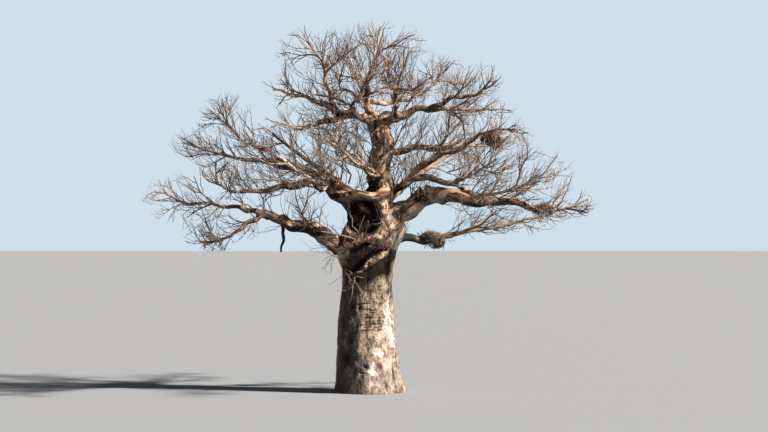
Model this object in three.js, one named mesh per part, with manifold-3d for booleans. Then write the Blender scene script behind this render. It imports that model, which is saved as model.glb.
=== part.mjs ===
// A bare baobab tree, about 18 m tall: a swollen trunk with a root flare, thirty-one tapering
// boughs, twenty-four masses of twigs with no leaves, and three nests of straw and thorn in the crown.
// The tables are in metres and the solids in millimetres. +Z is up, -Y is the photographed side,
// and the origin is on the ground in the middle of the trunk's foot.
import * as THREE from "three";
import { mergeVertices } from "three/addons/utils/BufferGeometryUtils.js";
import Module from "manifold-3d";

const wasm = await Module();
wasm.setup();

const MM = 1000; // millimetres in a metre
const GAP = 0.0004; // clear space left round a piece that another one meets
const UP = new THREE.Vector3(0, 0, 1);

const TRUNK_TOP = [0.15, 0, 8.9];
const TRUNK_LEAN = [-0.2, 0, 0]; // how far the trunk bows out of the straight line at mid height
const TRUNK_SIDES = 24;
const TRUNK_RINGS = 20;
const TRUNK_PROFILE = [
  // height, radius
  [0, 1.64], [0.5, 1.57], [1.6, 1.52], [2.7, 1.44], [4, 1.35], [5.1, 1.25],
  [6.5, 1.26], [7.5, 1.37], [8.1, 1.32], [8.6, 1.05], [8.9, 0.6],
];
const FOOT_LOBES = 5;
const FOLD = { angle: -1.78, lipHeight: 7.5, mouthHeight: 6.95 }; // arched fold under the fork

const LIMB_SIDES = 8;
const THIN_LIMB_SIDES = 6; // where the root's radius is under THIN_LIMB
const THIN_LIMB = 0.2;
const LIMB_RINGS = 7;
const WOBBLE = 0.022; // sideways wander of a limb as a share of its length

// Each bough starts at a share of its parent's length, ends at its tip and bows out of the straight
// line by "bow" at its middle. "thick" holds its radius at the root and at the tip, and "fall" says
// how soon it loses that thickness.
const BOUGHS = {
  leader: {
    parent: "trunk", share: 0.84, tip: [0.45, 0.1, 13.6],
    bow: [0.3, 0.1, 0], thick: [1.25, 0.5], fall: 2.8,
  },
  right_root: {
    parent: "trunk", share: 0.8, tip: [2.79, -0.6, 9.84],
    bow: [0, -0.1, 0.15], thick: [0.85, 0.4],
  },
  right_arm: {
    parent: "right_root", share: 1, tip: [9.25, -1.45, 9.1],
    bow: [0, -0.2, 0.05], thick: [0.4, 0.09], fall: 1.1,
  },
  right_up: {
    parent: "leader", share: 0.25, tip: [3.52, -1, 11.87],
    bow: [-0.1, -0.1, 0.1], thick: [0.2, 0.14],
  },
  right_up_out: {
    parent: "right_up", share: 1, tip: [5.38, -1.6, 12.8],
    bow: [0.15, 0, -0.12], thick: [0.14, 0.08],
  },
  right_mid: {
    parent: "right_up", share: 0.55, tip: [5.34, -2.4, 9.78],
    bow: [0.1, 0, 0.22], thick: [0.17, 0.1],
  },
  right_high: {
    parent: "leader", share: 0.73, tip: [4.45, 1.4, 12.24],
    bow: [0, 0.2, 0.12], thick: [0.2, 0.11],
  },
  right_low: {
    parent: "trunk", share: 0.86, tip: [4.21, 1.7, 7.84],
    bow: [-0.1, 0.2, -0.2], thick: [0.27, 0.13],
  },
  top_right: {
    parent: "leader", share: 0.97, tip: [3.54, -0.5, 14.13],
    bow: [0.1, 0, 0.2], thick: [0.3, 0.11],
  },
  top_right_up: {
    parent: "top_right", share: 0.76, tip: [5.2, -1.5, 14.74],
    bow: [0.05, -0.18, 0.16], thick: [0.13, 0.07],
  },
  top_left: {
    parent: "leader", share: 0.97, tip: [-2.84, -0.5, 14.58],
    bow: [0, 0, -0.05], thick: [0.24, 0.11],
  },
  top_left_up: {
    parent: "top_left", share: 0.62, tip: [-2.23, -0.9, 16.24],
    bow: [-0.12, 0, 0.05], thick: [0.15, 0.08],
  },
  top_left_low: {
    parent: "top_left", share: 0.4, tip: [-2.96, -1.7, 13.24],
    bow: [-0.35, 0, -0.1], thick: [0.2, 0.08],
  },
  top_centre: {
    parent: "leader", share: 0.97, tip: [0.25, 0.2, 16.41],
    bow: [-0.45, 0.1, 0], thick: [0.24, 0.1],
  },
  top_arch: {
    parent: "top_centre", share: 0.38, tip: [2.79, 1.6, 15.08],
    bow: [0.1, 0.1, -0.25], thick: [0.12, 0.07],
  },
  left_mid: {
    parent: "leader", share: 0.16, tip: [-2.59, -0.4, 10.69],
    bow: [-0.1, 0, 0.3], thick: [0.66, 0.28],
  },
  saddle: {
    parent: "leader", share: 0.58, tip: [-0.8, -0.58, 9.9],
    bow: [0.8, -0.75, -0.42], thick: [0.22, 0.2], fall: 1,
  },
  left_up: {
    parent: "left_mid", share: 1, tip: [-6.2, 0.9, 11.62],
    bow: [0.1, 0.1, 0.25], thick: [0.26, 0.1],
  },
  left_dome: {
    parent: "left_up", share: 0.5, tip: [-6.17, -0.6, 12.48],
    bow: [0.2, 0, 0.12], thick: [0.15, 0.08],
  },
  left_mid_out: {
    parent: "left_mid", share: 1, tip: [-6.38, -1.3, 9.99],
    bow: [0.1, 0, -0.12], thick: [0.24, 0.09],
  },
  left_low: {
    parent: "trunk", share: 0.74, tip: [-5.22, -0.8, 8.9],
    bow: [-0.1, -0.1, 0.25], thick: [0.52, 0.21],
  },
  left_low_out: {
    parent: "left_low", share: 1, tip: [-7.27, -1.3, 9.25],
    bow: [0, 0, 0.12], thick: [0.15, 0.08],
  },
  left_low_dip: {
    parent: "left_low", share: 1, tip: [-6.81, -1.6, 7.81],
    bow: [0.1, 0, 0.12], thick: [0.15, 0.08],
  },
  hanging_stub: {
    parent: "left_low", share: 0.8, tip: [-4.37, -0.75, 7.01],
    bow: [0.02, 0, 0], thick: [0.1, 0.05],
  },
  front_left: {
    parent: "left_mid", share: 0.8, tip: [-2.7, -4.4, 10.5],
    bow: [0.1, -0.2, -0.3], thick: [0.15, 0.1],
  },
  front_right: {
    parent: "right_mid", share: 0.6, tip: [4.9, -4.6, 10.75],
    bow: [0.05, -0.1, 0.1], thick: [0.12, 0.08],
  },
  front_mid: {
    parent: "leader", share: 0.5, tip: [-0.8, -3.6, 11.5],
    bow: [0.15, -0.3, 0], thick: [0.11, 0.07],
  },
  front_top: {
    parent: "top_right", share: 0.25, tip: [1.3, -3.4, 14.8],
    bow: [0, -0.2, 0.1], thick: [0.15, 0.09],
  },
  back_left: {
    parent: "trunk", share: 0.91, tip: [-2.66, 5, 11.3],
    bow: [0.1, 0.3, 0.3], thick: [0.46, 0.13],
  },
  back_right: {
    parent: "leader", share: 0.3, tip: [2.76, 5, 11.09],
    bow: [0.1, 0.5, 0.2], thick: [0.4, 0.13],
  },
  back_top: {
    parent: "leader", share: 0.85, tip: [-0.26, 3.6, 14.88],
    bow: [-0.1, 0.3, 0.1], thick: [0.24, 0.1],
  },
};

// Each mass of twigs grows from the tip of the bough of its name. Its room is an egg with this
// middle and these half sizes, and its stem runs to "far".
const MASSES = {
  left_low_out: { middle: [-9.1, -2, 9.64], half: [2.1, 2.42, 1.26], far: [-10.64, -1.8, 9.98] },
  left_low_dip: { middle: [-7.52, -2, 7.92], half: [1.65, 1.99, 0.94], far: [-8.05, -2.2, 7.47] },
  left_mid_out: { middle: [-7, -2.6, 10.8], half: [1.4, 2.31, 0.95], far: [-8.1, -2.8, 10.8] },
  left_up: { middle: [-8.16, 1.6, 12.4], half: [2.05, 2.62, 1.16], far: [-9.59, 1.8, 12.61] },
  left_dome: { middle: [-6.96, -0.6, 13.73], half: [1.68, 2.73, 1.26], far: [-7.51, -0.6, 14.47] },
  top_left_low: { middle: [-3.86, -2.6, 13.2], half: [1.46, 1.89, 0.92], far: [-4.64, -2.8, 13.39] },
  top_left: { middle: [-3.83, -0.6, 14.97], half: [1.67, 2.31, 1.24], far: [-4.81, -1, 15.05] },
  top_left_up: { middle: [-2.6, -1.4, 16.95], half: [2.1, 2.73, 1.3], far: [-3.31, -1.4, 17.6] },
  top_centre: { middle: [0.3, 0.3, 17.42], half: [2.6, 2.94, 1.24], far: [0.75, 0.3, 18.22] },
  top_arch: { middle: [3.63, 2.6, 15.85], half: [1.89, 2.52, 1.19], far: [4.14, 2.6, 16.56] },
  top_right_up: { middle: [5.45, -2, 15.45], half: [1.2, 2.31, 0.95], far: [6.05, -2.1, 15.7] },
  top_right: { middle: [5.5, 0.5, 14.09], half: [1.95, 2.1, 0.86], far: [6.7, 0.7, 14.19] },
  right_high: { middle: [6.08, 3.6, 12.82], half: [2.05, 2.52, 0.92], far: [7.39, 4, 13.04] },
  right_up_out: { middle: [6.51, -2.6, 12.76], half: [1.51, 2.1, 0.81], far: [7.39, -2.6, 13.01] },
  right_mid: { middle: [7.5, -2.8, 11], half: [2.7, 2.52, 1.4], far: [9.1, -3.2, 11.23] },
  right_arm: { middle: [9.83, -1.4, 9.44], half: [1.57, 2.31, 0.86], far: [10.9, -1.6, 9.69] },
  right_low: { middle: [7.07, 2, 8.55], half: [2.81, 2.1, 0.81], far: [8.98, 2.4, 8.8] },
  front_left: { middle: [-3.73, -6.6, 11.3], half: [2.48, 3.15, 1.4], far: [-4.36, -7.6, 11.7] },
  front_right: { middle: [5.4, -6.4, 11.15], half: [1.8, 2.7, 1.2], far: [6.1, -7.2, 11.55] },
  front_mid: { middle: [-1.6, -5, 12.5], half: [1.65, 2.73, 1.2], far: [-2, -5.8, 13] },
  front_top: { middle: [1.6, -4.4, 15.85], half: [2.1, 2.8, 1.3], far: [1.9, -4.8, 16.5] },
  back_left: { middle: [-4.43, 6.6, 12.55], half: [2.7, 3.15, 1.84], far: [-5.26, 7.6, 13.27] },
  back_right: { middle: [4.54, 6.8, 12.29], half: [2.7, 3.15, 1.84], far: [5.38, 7.8, 12.95] },
  back_top: { middle: [-0.99, 4.8, 16.29], half: [2.38, 2.94, 1.73], far: [-1.2, 5.4, 17.37] },
};
const NESTS = {
  nest_low: { middle: [3.14, 1.45, 7.55], half: [0.76, 0.66, 0.5] },
  nest_high: { middle: [6.02, -1.95, 12.5], half: [0.55, 0.46, 0.42] },
  nest_far: { middle: [8.62, -1.42, 9.08], half: [0.6, 0.44, 0.32] },
};

const SKIN_TWIGS = 15; // points near a room's skin that its twigs reach for
const INNER_TWIGS = 4; // points deeper in the room
const ROOM_MARGIN = 0.02; // how much deeper in its own room than in any other a twig stays
const SHORTEST = 0.4;
const LONGEST = 3.4;
const THINNEST = 0.022;
const TWIG_TAPER = 0.6; // share of its thickness that a twig loses by its tip
const TWIG_DETAIL = 5; // millimetres: smaller edges where twigs join are merged
const CUT_DETAIL = 0.1; // the same for edges left by a cut, well under the gap
const CLEARANCE = 0.05;
const GROWTH_STEP = 1 / 1.22074408460575947536; // steps of an even scatter in three directions

const BARK = { color: 0x9b7757, roughness: 0.92, metalness: 0 };
const TRUNK_BARK = { color: 0xa08c78, roughness: 0.9, metalness: 0 };
const TWIG_BARK = { color: 0xa3927f, roughness: 0.95, metalness: 0 };
const STRAW = { color: 0x5d4a37, roughness: 1, metalness: 0 };

const vector = (list) => new THREE.Vector3(...list);

// A whole number and a salt always give the same number between 0 and 1.
function chance(number, salt) {
  let h = (number ^ Math.imul(salt, 0x9e3779b9)) >>> 0;
  h = Math.imul(h, 0x85ebca6b) >>> 0;
  h = Math.imul(h ^ (h >>> 13), 0xc2b2ae35) >>> 0;
  h = Math.imul(h ^ (h >>> 16), 0x27d4eb2f) >>> 0;
  return ((h ^ (h >>> 15)) >>> 0) / 2 ** 32;
}

function readProfile(profile, at) {
  const next = profile.findIndex(([height]) => height >= at);
  if (next <= 0) return profile[Math.max(next, 0)][1];
  const [z0, r0] = profile[next - 1];
  const [z1, r1] = profile[next];
  return r0 + ((r1 - r0) * (at - z0)) / (z1 - z0);
}

// A limb is a line in space, place(share), and a radius, thick(share), from its root to its tip.
function limbOf({ parent, share, tip, bow, thick, fall = 1.4 }, order, limbs) {
  const start = limbs[parent].place(share);
  const span = vector(tip).sub(start);
  const wander = WOBBLE * span.length();
  const phase = [1, 2, 3].map((salt) => chance(order, salt) * 2 * Math.PI);
  const place = (t) => {
    const hump = 4 * t * (1 - t);
    const sway = phase.map((p) => wander * hump * Math.sin(2 * Math.PI * 2.2 * t + p));
    return start.clone().addScaledVector(span, t).addScaledVector(vector(bow), hump).add(vector(sway));
  };
  return { place, thick: (t) => thick[1] + (thick[0] - thick[1]) * Math.max(0, 1 - t) ** fall };
}

function heading(place, t) {
  const back = place(Math.max(0, t - 0.01));
  return place(Math.min(1, t + 0.01)).sub(back).normalize();
}

const trunk = {
  place: (t) => vector(TRUNK_TOP).multiplyScalar(t).addScaledVector(vector(TRUNK_LEAN), 4 * t * (1 - t)),
  thick: (t) => readProfile(TRUNK_PROFILE, Math.min(TRUNK_TOP[2] * t, TRUNK_TOP[2])),
};
const limbs = { trunk };
Object.entries(BOUGHS).forEach(([name, bough], order) => {
  limbs[name] = limbOf(bough, order + 1, limbs);
});

// The trunk's skin: foot lobes, broad ribs, and a lip with a hollow mouth below it under the fork.
function trunkSkin(angle, z) {
  const lobe = Math.cos(FOOT_LOBES * angle + 0.6) + 0.6 * Math.cos((FOOT_LOBES + 3) * angle + 2);
  const lobes = 0.09 * Math.exp(-z / 0.55) * (1.2 + lobe);
  const ribs = 0.025 * Math.cos(4 * angle + 0.5 * z) * Math.min(1, (TRUNK_TOP[2] - z) / 2);
  const off = Math.atan2(Math.sin(angle - FOLD.angle), Math.cos(angle - FOLD.angle));
  const near = Math.exp(-((off / 0.4) ** 2));
  const lip = 0.14 * near * Math.exp(-(((z - FOLD.lipHeight) / 0.26) ** 2));
  const mouth = 0.22 * near * Math.exp(-(((z - FOLD.mouthHeight) / 0.3) ** 2));
  return readProfile(TRUNK_PROFILE, z) + lobes + ribs + lip - mouth;
}

function solidOf(geometry) {
  geometry.deleteAttribute("normal");
  geometry.deleteAttribute("uv");
  geometry.clearGroups();
  const merged = mergeVertices(geometry, 1e-3);
  const vertProperties = new Float32Array(merged.attributes.position.array);
  const triVerts = new Uint32Array(merged.index.array);
  return new wasm.Manifold(new wasm.Mesh({ numProp: 3, vertProperties, triVerts }));
}

// Bends a unit cylinder or cone along place(t), with radius(t, angle), where t runs from 0 to 1.
// The sections stay square to the line, except the first one, which can be set by firstHeading,
// and both ends are moved out by "grow".
function bend(geometry, place, radius, { firstHeading, grow = 0 } = {}) {
  const position = geometry.attributes.position;
  const across = place(1).sub(place(0)).normalize();
  const aside = Math.abs(across.z) > 0.8 ? new THREE.Vector3(1, 0, 0) : UP;
  const v = new THREE.Vector3();
  for (let i = 0; i < position.count; i++) {
    v.fromBufferAttribute(position, i);
    const t = Math.min(1, Math.max(0, v.y + 0.5));
    const onAxis = Math.hypot(v.x, v.z) < 1e-6;
    const angle = Math.atan2(v.x, v.z);
    const along = t === 0 && firstHeading ? firstHeading : heading(place, t);
    const a = new THREE.Vector3().crossVectors(aside, along).normalize();
    const b = new THREE.Vector3().crossVectors(a, along);
    const reach = onAxis ? 0 : radius(t, angle);
    const spot = place(t).addScaledVector(a, Math.sin(angle) * reach);
    spot.addScaledVector(b, Math.cos(angle) * reach);
    spot.addScaledVector(along, t === 1 ? grow : t === 0 ? -grow : 0);
    position.setXYZ(i, ...spot.multiplyScalar(MM).toArray());
  }
  return solidOf(geometry);
}

function trunkSolid(grow = 0) {
  const geometry = new THREE.CylinderGeometry(1, 1, 1, TRUNK_SIDES, TRUNK_RINGS);
  geometry.rotateX(Math.PI / 2);
  const position = geometry.attributes.position;
  for (let i = 0; i < position.count; i++) {
    const t = position.getZ(i) + 0.5;
    const angle = Math.atan2(position.getY(i), position.getX(i));
    const onAxis = Math.hypot(position.getX(i), position.getY(i)) < 1e-6;
    const reach = onAxis ? 0 : trunkSkin(angle, t * TRUNK_TOP[2]) + grow;
    const spot = trunk.place(t).add(new THREE.Vector3(Math.cos(angle) * reach, Math.sin(angle) * reach, 0));
    if (grow > 0 && t > 0.99) spot.z += grow;
    position.setXYZ(i, ...spot.multiplyScalar(MM).toArray());
  }
  return solidOf(geometry);
}

function boughSolid(name, grow = 0) {
  const { place, thick } = limbs[name];
  const sides = thick(0) < THIN_LIMB ? THIN_LIMB_SIDES : LIMB_SIDES;
  const geometry = new THREE.CylinderGeometry(1, 1, 1, sides, LIMB_RINGS);
  const knobs = (t, angle) => 1 + 0.05 * Math.sin(3 * angle + 17 * t);
  return bend(geometry, place, (t, angle) => thick(t) * knobs(t, angle) + grow, { grow });
}

const apart = (a, b) => {
  const p = a.boundingBox();
  const q = b.boundingBox();
  return [0, 1, 2].some((k) => p.max[k] < q.min[k] || q.max[k] < p.min[k]);
};

const largest = (solid) => solid.decompose().sort((a, b) => b.volume() - a.volume())[0];

// Obstacles are short straight lengths with a radius, which twigs keep clear of.
const obstacles = [];
function addObstacles({ place, thick }, pieces) {
  for (let k = 0; k < pieces; k++) {
    obstacles.push({ a: place(k / pieces), b: place((k + 1) / pieces), r: thick(k / pieces) });
  }
}

function distanceTo({ a, b }, p) {
  const line = b.clone().sub(a);
  const t = THREE.MathUtils.clamp(p.clone().sub(a).dot(line) / line.lengthSq(), 0, 1);
  return p.distanceTo(a.clone().addScaledVector(line, t));
}

const rooms = Object.values(MASSES).map(({ middle, half }) => ({
  middle: vector(middle),
  half: vector(half),
}));

// 0 in the middle of a room and 1 at its skin
const depthIn = (room, p) => p.clone().sub(room.middle).divide(room.half).lengthSq();

function staysInRoom(index, p) {
  const own = depthIn(rooms[index], p);
  return own < 1.35 && rooms.every((room, k) => k === index || depthIn(room, p) > own + ROOM_MARGIN);
}

// The twigs reach for points of an even scatter, the first of them close under the room's skin.
function scatter(index, number, onSkin) {
  const u = [1, 2, 3].map((power) => (0.5 + index * 0.137 + number * GROWTH_STEP ** power) % 1);
  const z = 2 * u[0] - 1;
  const turn = 2 * Math.PI * u[1];
  const reach = onSkin ? 0.84 + 0.16 * u[2] : 0.9 * u[2] ** (1 / 2.4);
  const flat = Math.sqrt(1 - z * z);
  const way = new THREE.Vector3(flat * Math.cos(turn), flat * Math.sin(turn), z);
  return way.multiply(rooms[index].half).multiplyScalar(reach).add(rooms[index].middle);
}

// A twig leaves its starting place along dir and curves by bend to its tip.
function twigOf(base, dir, length, curve, parent, share) {
  const place = (t) => base.clone().addScaledVector(dir, length * t).addScaledVector(curve, t * t);
  return { base, dir, length, curve, parent, share, place, load: 1 };
}

function stemOf(name) {
  const bough = limbs[name];
  const tip = bough.place(1);
  const ended = heading(bough.place, 1);
  const span = vector(MASSES[name].far).sub(tip);
  const length = span.length();
  const dir = span.clone().normalize().multiplyScalar(0.6).addScaledVector(ended, 0.4).normalize();
  const curve = span.clone().addScaledVector(dir, -length);
  const start = tip.clone().addScaledVector(ended, GAP);
  return { ...twigOf(start, dir, length, curve, null, 0), ended, span, tip };
}

function startingPlaces(twig, shares) {
  return shares.map((t) => ({
    twig,
    share: t,
    spot: twig.place(t),
    along: twig.dir.clone().multiplyScalar(twig.length).addScaledVector(twig.curve, 2 * t).normalize(),
    path: (twig.path ?? 0) + twig.length * t,
  }));
}

// Joins a point to the cheapest starting place: near, straight ahead and away from the crown's heart.
function reachFor(point, places, heart) {
  const out = point.clone().sub(heart).normalize();
  let best = null;
  for (const from of places) {
    const to = point.clone().sub(from.spot);
    const far = to.length();
    const ahead = to.dot(from.along) / far;
    const outward = to.dot(out) / far;
    if (ahead < 0.5 || outward < 0.45) continue;
    const cost = far * (1.6 - 0.6 * ahead) * (1.5 - 0.5 * outward) + 0.25 * from.path;
    if (!best || cost < best.cost) best = { from, to, far, cost };
  }
  return best;
}

function growMass(name, index, stem) {
  const heart = stem.tip.clone().addScaledVector(stem.span, -0.8).addScaledVector(UP, -0.25 * stem.length);
  const twigs = [stem];
  const places = startingPlaces(stem, [0, 1, 2, 3, 4, 5, 6].map((k) => 0.12 + (0.88 * k) / 6));
  for (let k = 0; k < SKIN_TWIGS + INNER_TWIGS; k++) {
    const onSkin = k < SKIN_TWIGS;
    const point = scatter(index, onSkin ? k : 1000 + k - SKIN_TWIGS, onSkin);
    const best = reachFor(point, places, heart);
    if (!best || best.far < SHORTEST || best.far > LONGEST) continue;
    const dir = best.from.along.clone().multiplyScalar(0.35);
    dir.addScaledVector(best.to, 0.75 / best.far).addScaledVector(UP, -0.12).normalize();
    const curve = best.to.clone().addScaledVector(dir, -best.far);
    const twig = twigOf(best.from.spot, dir, best.far, curve, best.from.twig, best.from.share);
    const spots = [1, 2, 3, 4, 5, 6, 7, 8].map((step) => twig.place(step / 8));
    const room = CLEARANCE + best.far / 16;
    const meets = spots.some((p) => obstacles.some((o) => o.owner !== name && distanceTo(o, p) < o.r + room));
    if (meets || !spots.every((p) => staysInRoom(index, p))) continue;
    twig.path = best.from.path;
    twigs.push(twig);
    places.push(...startingPlaces(twig, [0.4, 0.7, 1]));
  }
  for (const twig of [...twigs].reverse()) {
    if (twig.parent) twig.parent.load += twig.load;
  }
  for (const twig of twigs) {
    const flow = limbs[name].thick(1) * Math.sqrt(twig.load / stem.load);
    const most = twig.parent ? twig.parent.radius * (1 - TWIG_TAPER * twig.share) : Infinity;
    twig.radius = Math.max(THINNEST, Math.min(flow, most));
  }
  for (const twig of twigs.slice(1)) {
    obstacles.push({ a: twig.place(0), b: twig.place(0.5), r: twig.radius, owner: name });
    obstacles.push({ a: twig.place(0.5), b: twig.place(1), r: twig.radius, owner: name });
  }
  return twigs;
}

function twigSolid(twig) {
  const isStem = !twig.parent;
  const geometry = new THREE.ConeGeometry(1, 1, isStem ? 6 : 3, isStem ? 4 : 2);
  const sunk = isStem ? 0 : (0.8 * twig.parent.radius * (1 - TWIG_TAPER * twig.share)) / twig.length;
  const place = (t) => twig.place(t - sunk * (1 - t));
  return bend(geometry, place, (t) => twig.radius * (1 - TWIG_TAPER * t), { firstHeading: twig.ended });
}

function nestSolid({ middle, half }, order) {
  const geometry = new THREE.IcosahedronGeometry(1, 2);
  const position = geometry.attributes.position;
  const v = new THREE.Vector3();
  for (let i = 0; i < position.count; i++) {
    v.fromBufferAttribute(position, i);
    const lump = 1 + 0.09 * Math.sin(4.1 * v.x + 2 * order) * Math.cos(3.7 * v.y + 5.3 * v.z);
    v.multiplyScalar(lump).multiply(vector(half)).add(vector(middle)).multiplyScalar(MM);
    position.setXYZ(i, v.x, v.y, v.z);
  }
  return solidOf(geometry);
}

const tree = new THREE.Group();
function addNode(name, solid, look) {
  const mesh = solid.getMesh();
  const geometry = new THREE.BufferGeometry();
  geometry.setAttribute("position", new THREE.BufferAttribute(new Float32Array(mesh.vertProperties), 3));
  geometry.setIndex(new THREE.BufferAttribute(new Uint32Array(mesh.triVerts), 1));
  const node = new THREE.Mesh(geometry, new THREE.MeshStandardMaterial(look));
  node.name = name;
  tree.add(node);
}

// Trunk and boughs: every later limb is cut clear of the earlier ones that it grows out of or meets.
const cutters = [trunkSolid(GAP)];
addNode("trunk", trunkSolid(), TRUNK_BARK);
for (const name of Object.keys(BOUGHS)) {
  const whole = boughSolid(name);
  const cut = cutters.filter((c) => !apart(c, whole)).reduce((solid, c) => solid.subtract(c), whole);
  addNode(`bough_${name}`, largest(cut).simplify(CUT_DETAIL), BARK);
  cutters.push(boughSolid(name, GAP));
}

// Masses of twigs
for (const limb of Object.values(limbs)) addObstacles(limb, 10);
const stems = Object.keys(MASSES).map(stemOf);
Object.keys(MASSES).forEach((name, index) => {
  const stem = stems[index];
  const thick = () => limbs[name].thick(1);
  addObstacles({ place: stem.place, thick }, 3);
  for (const piece of obstacles.slice(-3)) piece.owner = name;
});
for (const { middle, half } of Object.values(NESTS)) {
  const spot = vector(middle);
  const side = new THREE.Vector3(half[0] * 0.4, 0, 0);
  obstacles.push({ a: spot.clone().sub(side), b: spot.clone().add(side), r: half[0] * 0.75 });
}
Object.keys(MASSES).forEach((name, index) => {
  const twigs = growMass(name, index, stems[index]);
  const joined = wasm.Manifold.union(twigs.map(twigSolid));
  addNode(`twigs_${name}`, largest(joined.simplify(TWIG_DETAIL)), TWIG_BARK);
});

// Nests are cut clear of the limbs and stems that carry them.
stems.forEach((stem) => {
  const geometry = new THREE.ConeGeometry(1, 1, 6, 4);
  const radius = (t) => stem.radius * (1 - TWIG_TAPER * t) + GAP;
  cutters.push(bend(geometry, stem.place, radius, { firstHeading: stem.ended }));
});
Object.entries(NESTS).forEach(([name, nest], order) => {
  const whole = nestSolid(nest, order);
  const cut = cutters.filter((c) => !apart(c, whole)).reduce((solid, c) => solid.subtract(c), whole);
  addNode(name, largest(cut).simplify(CUT_DETAIL), STRAW);
});

export default tree;
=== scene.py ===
import math
from collections import namedtuple

import bpy
import numpy as np
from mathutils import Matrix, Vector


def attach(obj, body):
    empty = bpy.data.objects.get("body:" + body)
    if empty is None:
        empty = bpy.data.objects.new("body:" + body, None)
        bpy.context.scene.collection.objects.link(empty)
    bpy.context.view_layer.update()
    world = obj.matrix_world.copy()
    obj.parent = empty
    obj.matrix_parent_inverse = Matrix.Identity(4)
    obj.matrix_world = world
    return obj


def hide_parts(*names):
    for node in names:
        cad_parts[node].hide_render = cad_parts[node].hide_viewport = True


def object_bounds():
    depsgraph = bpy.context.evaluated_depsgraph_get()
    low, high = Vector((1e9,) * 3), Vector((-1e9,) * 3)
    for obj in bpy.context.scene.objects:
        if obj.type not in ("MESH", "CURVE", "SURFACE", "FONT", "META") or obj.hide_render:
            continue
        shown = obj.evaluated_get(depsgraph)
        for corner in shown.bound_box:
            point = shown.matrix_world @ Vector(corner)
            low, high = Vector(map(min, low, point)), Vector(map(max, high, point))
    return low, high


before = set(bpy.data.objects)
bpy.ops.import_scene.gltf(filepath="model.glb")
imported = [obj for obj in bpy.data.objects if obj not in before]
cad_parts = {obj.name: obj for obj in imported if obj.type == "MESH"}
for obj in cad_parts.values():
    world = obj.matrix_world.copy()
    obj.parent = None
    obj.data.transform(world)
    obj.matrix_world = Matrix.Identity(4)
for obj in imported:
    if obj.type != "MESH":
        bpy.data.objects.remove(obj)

CAD_BOX = [list(corner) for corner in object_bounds()]

# The tree's named sizes

TRUNK_TOP = np.array([0.15, 0.0, 8.9])
TRUNK_LEAN = np.array([-0.2, 0.0, 0.0])
PROFILE_HEIGHT = [0, 0.5, 1.6, 2.7, 4, 5.1, 6.5, 7.5, 8.1, 8.6, 8.9]
PROFILE_RADIUS = [1.64, 1.57, 1.52, 1.44, 1.35, 1.25, 1.26, 1.37, 1.32, 1.05, 0.6]
FOOT_LOBES = 5
WOBBLE = 0.022           # sideways wander of a limb as a share of its length
FALL = 1.4               # how soon a bough loses its thickness

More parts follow.
